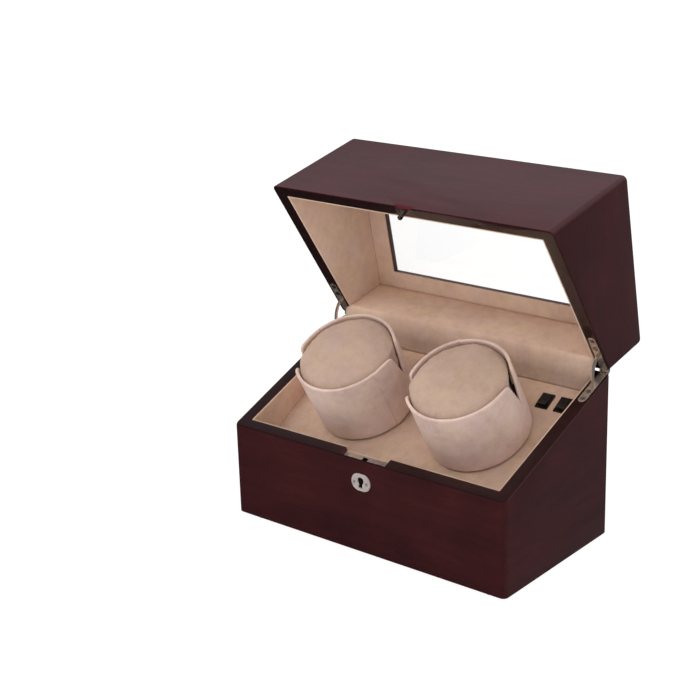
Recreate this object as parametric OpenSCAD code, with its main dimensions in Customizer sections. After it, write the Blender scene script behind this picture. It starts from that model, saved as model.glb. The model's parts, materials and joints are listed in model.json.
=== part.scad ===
// Double watch winder in a lacquered wooden box with a slanted, glazed lid.
// Origin: centre of the underside of the box. +Z up, +X to the right, -Y is the front.
// Name endings: _w width, _d depth or diameter, _h height, _l length, _t thickness,
// _r radius, _a angle, _x _y _z place or half size along an axis.

/* [Box] */
// Outside width of the box
body_w = 250; // [246:1:262]
// Outside depth of the box
body_d = 135; // [134:1:138]
// Outside height of the closed box
body_h = 173; // [172:1:178]
// Height of the lid joint at the front face
front_h = 72.5; // [71.5:0.5:74]
// Height of the lid joint at the back face
back_h = 126; // [125:0.5:128]
// Thickness of the side walls
side_t = 10.6; // [10.4:0.1:11.4]
// Thickness of the front and back walls
face_t = 8.8; // [8.6:0.1:9]
// Thickness of the lid's top board
top_t = 8.7; // [8.5:0.1:9.5]
// Radius of the rounded outside edges
edge_r = 4.5; // [3:0.5:6]
// Gap between the closed lid and the base
lid_gap = 0.4; // [0.3:0.05:0.5]

/* [Lid] */
// Opening angle of the lid, in degrees
lid_open = 78.2; // [0:0.1:78.2]
// Half width of the window opening
win_x = 100; // [90:1:102]
// Half depth of the window opening
win_y = 46.5; // [40:0.5:47]
// Thickness of the window glass
glass_t = 3; // [2:0.5:3]

/* [Turntables] */
// Slope of the turntable panel, in degrees
panel_a = 30; // [29:0.5:31]
// Distance of each turntable from the middle of the box
cup_x = 52; // [48:0.5:54]
// Outside radius of the cup with its cover
cup_r = 39.6; // [37:0.1:41]
// Height of the cup's collar above the panel
cup_h = 58.5; // [50:0.5:60]
// Turn of the strap notches about the cup's axis, in degrees
notch_turn = 22; // [0:1:45]
// Teeth of the turntable gear
gear_z = 40; // [40:2:44]
// Teeth of the motor pinion
pinion_z = 16; // [14:2:16]
// Gear module
gear_m = 0.8; // [0.7:0.05:0.8]

/* [Lock] */
// Width of the escutcheon plate
esc_w = 17.4; // [16:0.2:20]
// Height of the escutcheon plate
esc_h = 13.4; // [13:0.2:15]
// Height of the keyhole above the underside
key_z = 56; // [54:0.5:56]

/* [Hidden] */
NODES = ["base_case", "base_lining", "bottom_panel", "bottom_screws", "feet", "foot_screws",
    "turntable_panel", "panel_cover", "panel_battens", "suede_hinge_strip",
    "lock_case", "lock_face_plate", "lock_screws", "lock_bolt", "escutcheon", "escutcheon_pins",
    "hinge_base_leaf_left", "hinge_base_leaf_right", "hinge_arm_left", "hinge_arm_right",
    "hinge_pins", "hinge_screws_base", "motor_bracket_left", "motor_bracket_right",
    "bracket_screws", "gearmotor_left", "gearmotor_right", "motor_screws",
    "spindle_bushes", "control_board", "board_screws", "dc_jack", "dc_jack_nut",
    "switch_housings", "wiring", "lid_case", "lid_lining", "window_lining", "window_glass",
    "striker_plate", "striker_screws", "hinge_lid_leaf_left", "hinge_lid_leaf_right",
    "hinge_screws_lid", "cup_left", "cup_right", "cup_cover_left", "cup_cover_right",
    "spindle_left", "spindle_right", "drive_gear_left", "drive_gear_right",
    "spindle_clip_left", "spindle_clip_right", "pillow_left", "pillow_right",
    "rocker_left", "rocker_right", "motor_pinion_left", "motor_pinion_right"];
node = "all";
$fn = 64;

wood = "#4a1c1e";
bottom_wood = "#3a2422";
panel_wood = "#8a6a4a";
suede = "#b59a82";
cup_suede = "#b39a90";
pillow_suede = "#bea583";
steel = "#b9b6b0";
brass = "#c9a45a";
black = "#1b1b1b";

// Box inside; in_x, in_y and lined_x, lined_y are half sizes
front_y = -body_d / 2;
in_x = body_w / 2 - side_t;
in_y = body_d / 2 - face_t;
ceiling_z = body_h - top_t;
lining_t = 1.2;
lined_x = in_x - lining_t;
lined_y = in_y - lining_t;
rebate_x = in_x + 5.6; // rebate for the bottom panel
rebate_y = in_y + 4.6;
rebate_h = 5;

// Sloping lid joint
split_a = atan((back_h - front_h) / body_d);
split_l = body_d / cos(split_a);

// Hinges; in the joint frame _u runs up the slope and _n stands above the joint
hinge_x = body_w / 2 - 5.4;
leaf_u = 112.7; // centre of the leaf's rounded end
leaf_t = 1.5;
pin_u = split_l + 0.6;
pin_n = 1.2;
pin_r = 1.1;
pin_y = front_y + pin_u * cos(split_a) - pin_n * sin(split_a);
pin_z = front_h + pin_u * sin(split_a) + pin_n * cos(split_a);
arm_r = 17; // middle radius of the curved arm about the pin
lid_range = 78.2; // widest lid opening
arm_tip_a = 180 - lid_range;

// Lock: centre of the staple's eye
staple_u = 4.2;
eye_n = -5.9;
eye_y = front_y + staple_u * cos(split_a) - eye_n * sin(split_a);
eye_z = front_h + staple_u * sin(split_a) + eye_n * cos(split_a);
esc_pin_x = 5.6;

// Turntable panel: origin of its frame, and places up its slope (_v)
panel_y = -28.5;
panel_z = 61.4;
panel_t = 5;
cover_t = 0.8;
cup_v = 42.4;
switch_v = 82.6;
switch_x = [84.9, 100.6];

// Drive, with heights from the covered face of the panel
shaft_gap = gear_m * (gear_z + pinion_z) / 2; // spindle axis to motor axis
bracket_x = -14;
bracket_l = 54;
bracket_t = 1.5;
bracket_z = -19;
bracket_top = -5.85;

// Control board
board_y = -31;
board_z = 12;
board_t = 1.6;
board_top = board_z + board_t;

// Countersunk screws: [shank diameter, length, head diameter, head height]
bottom_screw = [2.5, 16, 5, 1.8];
lock_screw = [1.8, 5.8, 3.2, 0.8];
striker_screw = [1.8, 5, 3.2, 0.8];
hinge_screw = [2.2, 9, 4.2, 1.0];
bracket_pilot = [2.4, 4.4, 2.4, 0.01];
// Shank of the headed screws, and its hole
shank_d = 2.4;
shank_hole_d = 2.44;

// ---------- frames ----------
// local x, distance up the slope from the front face, height above the joint plane
module on_split() {
    translate([0, front_y, front_h]) rotate([split_a, 0, 0]) children();
}
// local x, distance up the panel, height above the panel's covered face
module on_panel() {
    translate([0, panel_y, panel_z]) rotate([panel_a, 0, 0]) children();
}
// turntable axis; side is -1 for left, 1 for right
module at_cup(side) {
    on_panel() translate([side * cup_x, cup_v, 0]) children();
}
module at_cups() {
    for (side = [-1, 1]) at_cup(side) children();
}
// turntable axis with +x pointing to the middle of the box
module at_drive(side) {
    at_cup(side)
        if (side > 0) mirror([1, 0, 0]) children();
        else children();
}
module at_motor(side) {
    at_drive(side) translate([shaft_gap, 0, 0]) children();
}
// turns the lid about the hinge pins
module lid_pose() {
    translate([0, pin_y, pin_z]) rotate([-lid_open, 0, 0]) translate([0, -pin_y, -pin_z])
        children();
}
module at_hinges() {
    for (side = [-1, 1]) translate([side * hinge_x, 0, 0]) children();
}
// keyhole centre on the front face, +z outwards
module at_keyhole() {
    translate([0, front_y, key_z]) rotate([90, 0, 0]) children();
}
// jack axis on the back face, +z outwards
module at_jack() {
    translate([85, body_d / 2, 20]) rotate([-90, 0, 0]) children();
}
module at_switch(x, height = 0) {
    on_panel() translate([x, switch_v, height]) children();
}
module at_switches() {
    for (x = switch_x) at_switch(x) children();
}

// ---------- screw places ----------
module at_bottom_screws() {
    for (i = [-1, 1], y = [-40, 0, 40])
        translate([i * (in_x + 2.6), y, 0]) mirror([0, 0, 1]) children();
}
module at_feet() {
    for (i = [-1, 1], j = [-1, 1]) translate([i * 107, j * 58, 0]) children();
}
module at_board_screws() {
    for (i = [-1, 1], j = [-1, 1]) translate([i * 36, board_y + j * 14, 0]) children();
}
module at_lock_screws() {
    on_split() for (i = [-1, 1]) translate([i * 17.3, 4.6, -2.2]) children();
}
module at_striker_screws() {
    on_split() for (i = [-1, 1])
        translate([i * 6.2, 5.6, lid_gap]) mirror([0, 0, 1]) children();
}
// hinge screws, inside the joint frame
module at_base_leaf_screws() {
    for (u = [113.6, 121.6]) translate([0, u, 0]) children();
}
module at_lid_leaf_screws() {
    translate([0, 0, lid_gap]) mirror([0, 0, 1]) at_base_leaf_screws() children();
}
// inside the frame of at_drive
module at_bracket_screws() {
    for (i = [-12, 38], j = [-1, 1]) translate([i, j * 26, 0]) children();
}
// inside the frame of at_motor
module at_motor_screws() {
    for (j = [-1, 1]) translate([0, j * 8.5, 0]) children();
}

// ---------- shared shapes ----------
// box centred on the z axis, from its half sizes, bottom and height
module centred_box(half_x, half_y, bottom, height) {
    translate([-half_x, -half_y, bottom]) cube([2 * half_x, 2 * half_y, height]);
}
module round_rect(half_x, half_y, radius) {
    square([2 * half_x, 2 * (half_y - radius)], center = true);
    square([2 * (half_x - radius), 2 * half_y], center = true);
    for (i = [-1, 1], j = [-1, 1])
        translate([i * (half_x - radius), j * (half_y - radius)]) circle(radius);
}
// rounded at the two top corners only
module round_top(half_x, height, radius) {
    translate([-half_x, 0]) square([2 * half_x, height - radius]);
    translate([-(half_x - radius), 0]) square([2 * (half_x - radius), height]);
    for (i = [-1, 1]) translate([i * (half_x - radius), height - radius]) circle(radius);
}
module oval(width, height) {
    for (i = [-1, 1]) translate([i * (width - height) / 2, 0]) circle(height / 2);
    square([width - height, height], center = true);
}
// outside of the closed box, solid
module outer_block() {
    intersection() {
        linear_extrude(body_h) round_rect(body_w / 2, body_d / 2, edge_r);
        translate([0, body_d / 2 + 1, 0]) rotate([90, 0, 0])
            linear_extrude(body_d + 2) round_top(body_w / 2, body_h, edge_r);
        translate([-body_w / 2 - 1, 0, 0]) rotate([90, 0, 90])
            linear_extrude(body_w + 2) round_top(body_d / 2, body_h, edge_r);
    }
}
// everything above or below a plane parallel to the joint
module above(offset_n) {
    on_split() translate([-200, -150, offset_n]) cube([400, 500, 300]);
}
module below(offset_n) {
    on_split() translate([-200, -150, offset_n - 300]) cube([400, 500, 300]);
}
// wide slab parallel to the turntable panel
module panel_slab(bottom, height = 120) {
    on_panel() translate([-150, -80, bottom]) cube([300, 260, height]);
}

// ---------- screws ----------
// countersunk screw along -Z, head face at z 0
module csk(screw) {
    shank = screw[0] / 2;
    length = screw[1];
    rotate_extrude() polygon([[0, 0], [screw[2] / 2, 0], [shank, -screw[3]],
        [shank, -length + shank], [0.15, -length], [0, -length]]);
}
module csk_hole(screw) {
    shank = screw[0] / 2 + 0.02;
    head = screw[2] / 2 + 0.05;
    end = -screw[1] - 0.1;
    rotate_extrude() polygon([[0, 1], [head, 1], [head, 0], [shank, -screw[3] - 0.05],
        [shank, end], [0, end]]);
}
module cross_slot(width, depth) {
    for (a = [0, 90]) rotate(a)
        translate([-width / 2, -width / 10, -depth]) cube([width, width / 5, depth + 1]);
}
module crossed_csk(screw, slot_w, slot_d) {
    difference() {
        csk(screw);
        cross_slot(slot_w, slot_d);
    }
}
module slotted_csk(screw) {
    difference() {
        csk(screw);
        translate([-2, -0.2, -0.4]) cube([4, 0.4, 1]);
    }
}
// plain shank and flat head; shank_z and head_z are their lower ends
module headed_screw(shank_z, shank_l, head_z, head_h, head_d = 4.4) {
    translate([0, 0, shank_z]) cylinder(d = shank_d, h = shank_l);
    translate([0, 0, head_z]) cylinder(d = head_d, h = head_h);
}
module shank_hole(bottom, height) {
    translate([0, 0, bottom]) cylinder(d = shank_hole_d, h = height);
}

// ---------- gears ----------
pressure_a = 20;
tooth_w = PI * gear_m / 2 - 0.1; // on the pitch circle
function involute(angle) = tan(angle) - angle * PI / 180;
// half the angle that a tooth spans at a radius
function half_angle(radius, pitch_r, base_r) =
    (tooth_w / (2 * pitch_r)) * 180 / PI
    + (involute(pressure_a) - involute(acos(min(1, base_r / radius)))) * 180 / PI;
// outline of one tooth as [radius, angle] points
function tooth(teeth, index) =
    let (pitch_r = gear_m * teeth / 2,
        base_r = pitch_r * cos(pressure_a),
        tip_r = pitch_r + 0.8 * gear_m,
        root_r = pitch_r - 1.15 * gear_m,
        centre_a = 360 * index / teeth,
        flank = [for (radius = [max(base_r, root_r), pitch_r, tip_r])
            [radius, half_angle(radius, pitch_r, base_r)]],
        root_a = flank[0][1] + 0.5)
    concat([[root_r, centre_a - root_a]],
        [for (k = [0:2]) [flank[k][0], centre_a - flank[k][1]]],
        [for (k = [2:-1:0]) [flank[k][0], centre_a + flank[k][1]]],
        [[root_r, centre_a + root_a]]);
module gear_outline(teeth) {
    polygon([for (i = [0:teeth - 1]) for (p = tooth(teeth, i))
        [p[0] * cos(p[1]), p[0] * sin(p[1])]]);
}

// ---------- base ----------
// flared recess in the joint face of the front wall
module front_recess() {
    on_split() translate([0, 1.5, 0]) rotate([-90, 0, 0]) linear_extrude(13)
        polygon([[-19.8, 2.2], [19.8, 2.2], [20.8, 0], [21.5, -3], [-21.5, -3], [-20.8, 0]]);
}
// prism of the keyhole, inside the frame of at_keyhole
module keyhole(bottom, height) {
    translate([0, 0, bottom]) linear_extrude(height) {
        translate([0, 1.4]) circle(2.8);
        polygon([[-1.5, 1.3], [1.5, 1.3], [1.9, -4.2], [-1.9, -4.2]]);
    }
}
module esc_pin_holes(bottom, height) {
    for (i = [-1, 1]) translate([i * esc_pin_x, 0, bottom]) cylinder(d = 1.44, h = height);
}
module base_case() color(wood) difference() {
    intersection() {
        outer_block();
        below(0);
    }
    centred_box(in_x, in_y, -1, 200);
    centred_box(rebate_x, rebate_y, -1, rebate_h + 1);
    front_recess();
    // seat of the lock's face plate
    on_split() translate([-19.5, 1.55, -4.2]) cube([39, 10.9, 2.1]);
    // pocket of the lock
    intersection() {
        translate([-15.2, front_y + 2.4, key_z - 15.5]) cube([30.4, 12, 60]);
        below(-3);
    }
    at_keyhole() keyhole(-5, 10);
    at_keyhole() esc_pin_holes(-4, 6);
    at_lock_screws() csk_hole(lock_screw);
    at_hinges() base_hinge_seat();
    at_bottom_screws() csk_hole(bottom_screw);
    at_jack() translate([0, 0, -20]) cylinder(d = 8.1, h = 30);
}
module base_lining() color(suede) difference() {
    intersection() {
        centred_box(in_x - 0.05, in_y - 0.05, 30, 120);
        below(-0.15);
        panel_slab(0.05);
    }
    centred_box(lined_x, lined_y, 0, 200);
    // notch behind the lock
    on_split() translate([-20.2, 2, -3.1]) cube([40.4, 12, 6]);
}
// suede strip up the back lining, ending just below the joint
module suede_hinge_strip() color(suede) intersection() {
    translate([-lined_x + 0.3, lined_y - 0.75, 30]) cube([2 * (lined_x - 0.3), 0.65, 120]);
    below(-0.6);
    panel_slab(0.3);
}
module bottom_panel() color(bottom_wood) difference() {
    centred_box(rebate_x - 0.1, rebate_y - 0.1, 0, rebate_h - 0.05);
    at_bottom_screws() csk_hole(bottom_screw);
    at_feet() shank_hole(-1, 8);
    at_board_screws() shank_hole(1.9, 8);
}
module bottom_screws() color(steel) at_bottom_screws() crossed_csk(bottom_screw, 2.6, 0.9);
// foot with a hollow underneath for its screw head
module feet() color(black) at_feet() rotate_extrude()
    polygon(concat([[1.3, 0], [5, 0], [5, -1]],
        [for (a = [15:15:60]) [3.6 + 1.4 * cos(a), -1 - 2.5 * sin(a)]],
        [[3.9, -3.5], [2.8, -3.5], [2.8, -1.6], [1.3, -1.6]]));
module foot_screws() color(steel) at_feet() difference() {
    headed_screw(shank_z = -1.65, shank_l = 6.2, head_z = -2.9, head_h = 1.25, head_d = 4.6);
    translate([0, 0, -2.9]) mirror([0, 0, 1]) cross_slot(2.6, 0.7);
}

// ---------- turntable panel ----------
// sloping sheet that stops a gap short of the walls
module sheet(thickness, top, gap) {
    intersection() {
        panel_slab(top - thickness, thickness);
        centred_box(in_x - gap, in_y - gap, 0, 150);
    }
}
module spindle_holes(radius) {
    at_cups() translate([0, 0, -10]) cylinder(r = radius, h = 20);
}
module switch_holes() {
    at_switches() translate([-4.6, -6.4, -10]) cube([9.2, 12.8, 20]);
}
module turntable_panel() color(panel_wood) difference() {
    sheet(panel_t, -cover_t - 0.02, 0.1);
    spindle_holes(6);
    for (side = [-1, 1]) at_drive(side) at_bracket_screws()
        translate([0, 0, -5.9]) mirror([0, 0, 1]) csk_hole(bracket_pilot);
    switch_holes();
}
module panel_cover() color(suede) difference() {
    sheet(cover_t, 0, lining_t + 0.1);
    spindle_holes(6.1);
    switch_holes();
}
// battens under the panel, along the side walls
module panel_battens() color(panel_wood) for (i = [-1, 1]) intersection() {
    on_panel() translate([i * (in_x - 4.1) - 4, -30, -14])
        cube([8, 125, 14 - panel_t - cover_t - 0.05]);
    centred_box(in_x - 0.05, in_y - 0.1, 6, 150);
}

// ---------- lock ----------
// block of the lock case, shrunk by an inset
module lock_block(inset) {
    intersection() {
        translate([-15 + inset, front_y + 2.5 + inset, key_z - 15.2 + inset])
            cube([30 - 2 * inset, 6.2 - 2 * inset, 60]);
        below(-4.25 - inset);
    }
}
module lock_case() color(steel) difference() {
    lock_block(0);
    lock_block(0.5);
    on_split() translate([-3, staple_u - 2, -8]) cube([6, 4, 8]);
    at_keyhole() keyhole(-4, 6);
    at_lock_screws() csk_hole(lock_screw);
}
module lock_face_plate() color(steel) difference() {
    on_split() translate([-19.4, 1.6, -4.2]) cube([38.8, 6.05, 2]);
    on_split() translate([-2.3, staple_u - 1.9, -5]) cube([4.6, 3.8, 4]);
    at_lock_screws() csk_hole(lock_screw);
}
module lock_screws() color(steel) at_lock_screws() slotted_csk(lock_screw);
// L-shaped plate with a round finger level with the staple's eye
module lock_bolt() {
    left_x = -14.3;
    bottom = key_z + 3.4;
    thickness = 1.5;
    finger_r = 0.7;
    color(brass) difference() {
        union() {
            translate([left_x, eye_y - thickness / 2, bottom])
                cube([5.4, thickness, eye_z + finger_r - bottom]);
            translate([left_x, eye_y - thickness / 2, bottom]) cube([17.5, thickness, 3.8]);
            translate([-9, eye_y, eye_z]) rotate([0, 90, 0]) cylinder(r = finger_r, h = 5.8);
        }
        translate([-1, eye_y - 2, bottom]) rotate([-90, 0, 0]) cylinder(r = 2.2, h = 4);
    }
}
module escutcheon() color(steel) at_keyhole() difference() {
    union() {
        linear_extrude(0.7) oval(esc_w, esc_h);
        linear_extrude(1.1) oval(esc_w - 0.8, esc_h - 0.8);
    }
    keyhole(-1, 4);
    esc_pin_holes(-1, 4);
}
module escutcheon_pins() color(steel) at_keyhole()
    for (i = [-1, 1]) translate([i * esc_pin_x, 0, 0]) {
        translate([0, 0, -2.2]) cylinder(d = 1.4, h = 3.3);
        translate([0, 0, 1.1]) cylinder(d = 2.3, h = 0.4);
    }

// ---------- hinges ----------
// cylinder about the hinge pin, in the joint frame
module on_pin(start_x, end_x, radius) {
    translate([start_x, pin_u, pin_n]) rotate([0, 90, 0])
        cylinder(r = radius, h = end_x - start_x);
}
module barrel(start_x, end_x) {
    on_pin(start_x, end_x, 2.3);
}
// plate with a rounded front end
module leaf_shape(half_w, length, bottom, height) {
    translate([-half_w, leaf_u, bottom]) cube([2 * half_w, length, height]);
    translate([0, leaf_u, bottom]) cylinder(r = half_w, h = height);
}
module leaf_plate(bottom) {
    leaf_shape(3.2, pin_u - leaf_u, bottom, leaf_t);
}
// trims a leaf behind the pin axis
module behind_pin() {
    translate([-5, pin_u, -5]) cube([10, 10, 10]);
}
// part of a ring about the hinge pin; angles in the joint frame, 180 points to the front
module arm_sector(half_t, start_a, end_a, width) {
    translate([-width / 2, pin_u, pin_n]) rotate([90, 0, 90]) intersection() {
        difference() {
            cylinder(r = arm_r + half_t, h = width);
            translate([0, 0, -1]) cylinder(r = arm_r - half_t, h = width + 2);
        }
        translate([0, 0, -0.5]) linear_extrude(width + 1)
            polygon(concat([[0, 0]], [for (i = [0:4])
                let (a = start_a + (end_a - start_a) * i / 4) [30 * cos(a), 30 * sin(a)]]));
    }
}
// cut in the base for leaf, screws, barrel and arm
module base_hinge_seat() {
    on_split() {
        leaf_shape(3.25, 60, -leaf_t - 0.05, 3);
        at_base_leaf_screws() csk_hole(hinge_screw);
        on_pin(-3.4, 3.4, 2.65);
        arm_sector(1.25, 179, 197, 2);
    }
}
// the same cut in the lid
module lid_hinge_seat() {
    on_split() {
        leaf_shape(3.25, 60, lid_gap - 1, leaf_t + 1.05);
        at_lid_leaf_screws() csk_hole(hinge_screw);
        on_pin(-3.4, 3.4, 2.65);
        arm_sector(1.9, arm_tip_a - 9, 190, 2.8);
    }
}
module hinge_base_leaf(side) color(steel) translate([side * hinge_x, 0, 0]) on_split()
    difference() {
        union() {
            difference() {
                leaf_plate(-leaf_t);
                on_pin(-1.55, 1.55, 2.6);
                behind_pin();
            }
            barrel(-3.2, -1.5);
            barrel(1.5, 3.2);
        }
        on_pin(-5, 5, pin_r);
        at_base_leaf_screws() csk_hole(hinge_screw);
        arm_sector(1.02, 170, 195, 1.84);
    }
module hinge_lid_leaf(side) color(steel) lid_pose() translate([side * hinge_x, 0, 0]) on_split()
    difference() {
        union() {
            difference() {
                leaf_plate(lid_gap);
                on_pin(-3.6, -1.4, 2.6);
                on_pin(1.4, 3.6, 2.6);
                behind_pin();
            }
            barrel(-1.4, 1.4);
        }
        on_pin(-5, 5, pin_r + 0.05);
        at_lid_leaf_screws() csk_hole(hinge_screw);
        arm_sector(1.2, 170, 190, 2.2);
    }
// curved arm with a thicker tip
module hinge_arm(side) color(steel) translate([side * hinge_x, 0, 0]) on_split() {
    arm_sector(1, arm_tip_a - 5.2, 196, 1.8);
    arm_sector(1.6, arm_tip_a - 6.2, arm_tip_a - 3.6, 1.4);
}
module hinge_pins() color(steel) at_hinges() on_split() on_pin(-3.4, 3.4, pin_r);
module hinge_screws_base() color(steel) at_hinges() on_split()
    at_base_leaf_screws() crossed_csk(hinge_screw, 2.2, 0.6);
module hinge_screws_lid() color(steel) lid_pose() at_hinges() on_split()
    at_lid_leaf_screws() crossed_csk(hinge_screw, 2.2, 0.6);

// ---------- lid ----------
// finger recess in the lid's front face
module finger_cut() {
    translate([0, front_y, front_h + 4.2]) rotate([30, 0, 0])
        translate([0, 0, -5]) rotate([90, 0, 0]) linear_extrude(8)
            polygon([[-5.8, 0], [5.8, 0], [9.8, 5], [-9.8, 5]]);
}
module lid_case() color(wood) lid_pose() difference() {
    intersection() {
        outer_block();
        above(lid_gap);
    }
    centred_box(in_x, in_y, -1, ceiling_z + 1);
    centred_box(win_x, win_y, 0, body_h + 10);
    // rebate of the glass
    centred_box(win_x + 4, win_y + 4, 0, ceiling_z + glass_t + 0.2);
    finger_cut();
    // seat of the striker plate
    on_split() translate([-8.05, 2.15, lid_gap - 1]) cube([16.1, 6.1, 2.05]);
    at_striker_screws() csk_hole(striker_screw);
    at_hinges() lid_hinge_seat();
}
module lid_lining() color(suede) lid_pose() difference() {
    intersection() {
        centred_box(in_x - 0.05, in_y - 0.05, 30, ceiling_z - lining_t - 0.05 - 30);
        above(lid_gap + 0.15);
    }
    centred_box(lined_x, lined_y, 0, 200);
}
module window_lining() color(suede) lid_pose() difference() {
    centred_box(in_x - 0.05, in_y - 0.05, ceiling_z - lining_t, lining_t);
    centred_box(win_x - 3, win_y - 3, 0, 200);
}
module window_glass() color("#dfe8ea", 0.35) lid_pose()
    centred_box(win_x + 3.8, win_y + 3.8, ceiling_z + 0.05, glass_t);
// plate with a staple hanging below it
module striker_plate() color(steel) lid_pose() difference() {
    on_split() union() {
        translate([-8, 2.2, lid_gap]) cube([16, 6, 1]);
        translate([-1.3, staple_u - 1.4, -7.2]) cube([2.6, 2.8, 7.2 + lid_gap + 0.5]);
    }
    on_split() translate([-5, staple_u, eye_n]) rotate([0, 90, 0]) cylinder(r = 0.95, h = 10);
    at_striker_screws() csk_hole(striker_screw);
}
module striker_screws() color(steel) lid_pose()
    at_striker_screws() slotted_csk(striker_screw);

// ---------- turntables ----------
// wedge that cuts the strap notch at both ends of one diameter
module notch_wedge(bottom, half_w) {
    top = cup_h + 5;
    rotate([0, 0, notch_turn]) rotate([90, 0, 90]) translate([0, 0, -60]) linear_extrude(120)
        polygon([[-0.4, bottom], [0.4, bottom], [half_w, top], [-half_w, top]]);
}
module cup(side) color(black) at_cup(side) difference() {
    translate([0, 0, 1.2]) cylinder(r = cup_r - 2.3, h = cup_h - 12);
    translate([0, 0, 3.7]) cylinder(r = cup_r - 4, h = 60);
    cylinder(r = 3, h = 20);
    notch_wedge(25.5, 12.6);
}
module cup_cover(side) color(cup_suede) at_cup(side) difference() {
    translate([0, 0, 0.8]) cylinder(r = cup_r, h = cup_h - 0.8);
    cylinder(r = cup_r - 2.25, h = 100);
    notch_wedge(27, 11.8);
}
// shaft with a flange inside the cup and a groove for the clip
module spindle(side) color(steel) at_cup(side) difference() {
    union() {
        translate([0, 0, -21]) cylinder(r = 3, h = 25);
        translate([0, 0, 3.72]) cylinder(r = 9, h = 2);
    }
    translate([0, 0, -14.5]) difference() {
        cylinder(r = 5, h = 0.9);
        translate([0, 0, -1]) cylinder(r = 2.5, h = 3);
    }
}
module drive_gear(side) color("#e8e2d2") at_cup(side) translate([0, 0, -13.5]) difference() {
    union() {
        linear_extrude(5) gear_outline(gear_z);
        translate([0, 0, 4]) cylinder(r = 6, h = 2);
    }
    translate([0, 0, -1]) cylinder(r = 3, h = 10);
}
module spindle_clip(side) color(steel) at_cup(side) translate([0, 0, -14.45]) difference() {
    cylinder(r = 5.2, h = 0.8);
    translate([0, 0, -1]) cylinder(r = 2.52, h = 3);
    translate([0, -1.7, -1]) cube([8, 3.4, 3]);
}
// round pillow that fills the cup
module pillow(side) color(pillow_suede) at_cup(side) rotate_extrude()
    polygon(concat([[0, 6.2], [cup_r - 5, 6.2], [cup_r - 4.4, 8]],
        [for (a = [0:9:90]) [cup_r - 13 + 8.6 * cos(a), 49 + 9.5 * sin(a)]],
        [[12, 61], [0, 61.4]]));
module spindle_bushes() color(brass) at_cups() difference() {
    union() {
        translate([0, 0, -5.9]) cylinder(r = 5.98, h = 6.4);
        translate([0, 0, -7.3]) cylinder(r = 9, h = 1.4);
    }
    translate([0, 0, -10]) cylinder(r = 3.05, h = 20);
}

// ---------- drive ----------
// channel under the panel, with two flanges screwed to it
module motor_bracket(side) color(steel) at_drive(side) difference() {
    union() {
        translate([bracket_x, -20, bracket_z]) cube([bracket_l, 40, bracket_t]);
        for (j = [-1, 1]) {
            translate([bracket_x, j * 20.75 - bracket_t / 2, bracket_z])
                cube([bracket_l, bracket_t, bracket_top - bracket_z]);
            translate([bracket_x, j * 25.75 - 5.75, bracket_top - bracket_t])
                cube([bracket_l, 11.5, bracket_t]);
        }
    }
    translate([0, 0, -25]) cylinder(r = 3.05, h = 10);
    translate([shaft_gap, 0, -25]) cylinder(r = 3.6, h = 10);
    translate([shaft_gap, 0, 0]) at_motor_screws() shank_hole(-25, 10);
    at_bracket_screws() shank_hole(-9, 6);
}
module bracket_screws() color(steel) for (side = [-1, 1]) at_drive(side)
    at_bracket_screws() difference() {
        headed_screw(shank_z = -7.5, shank_l = 6, head_z = -9, head_h = 1.6);
        translate([0, 0, -9]) mirror([0, 0, 1]) cross_slot(2.4, 0.8);
    }
module gearmotor(side) color("#6d6f70") at_motor(side) difference() {
    union() {
        // gearbox, motor, rear boss and front boss
        translate([0, 0, -33]) cylinder(r = 12.2, h = 13.95);
        translate([0, 0, -58]) cylinder(r = 11.8, h = 25.5);
        translate([0, 0, -60.5]) cylinder(r = 4, h = 3);
        translate([0, 0, -20]) cylinder(r = 3.5, h = 2.6);
        // terminals
        for (j = [-1, 1]) translate([-1.4, j * 8 - 0.3, -63]) cube([2.8, 0.6, 6]);
    }
    translate([0, 0, -32]) cylinder(r = 2.05, h = 40);
    at_motor_screws() shank_hole(-24.5, 10);
}
module motor_screws() color(steel) for (side = [-1, 1]) at_motor(side)
    at_motor_screws() difference() {
        headed_screw(shank_z = -24, shank_l = 7, head_z = -17.48, head_h = 1.4);
        translate([0, 0, -16.08]) cross_slot(2.4, 0.7);
    }
// pinion in one piece with the motor shaft
module motor_pinion(side) color(brass) at_motor(side) {
    translate([0, 0, -14.3]) linear_extrude(6.4)
        rotate(180 / pinion_z) gear_outline(pinion_z);
    translate([0, 0, -31]) cylinder(r = 2, h = 18);
}

// ---------- electrics ----------
module board_parts() {
    color("#2f5d3a") translate([-41, board_y - 19, board_z]) cube([82, 38, board_t]);
    // flat black parts
    color(black) translate([-8, -36, board_top]) cube([14, 8, 2.4]);
    color(black) translate([-24, -42, board_top]) cube([8, 6, 1.6]);
    // round blue parts
    color("#23395b") translate([22, -26, board_top]) cylinder(d = 8, h = 11);
    color("#23395b") translate([22, -38, board_top]) cylinder(d = 6.3, h = 9);
    // row of connectors
    color("#e6e0cf") for (x = [-24, -12, 24])
        translate([x - 5, -20, board_top]) cube([9, 6, 7]);
}
module control_board() difference() {
    board_parts();
    at_board_screws() translate([0, 0, 5]) cylinder(d = 2.6, h = 20);
}
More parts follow.
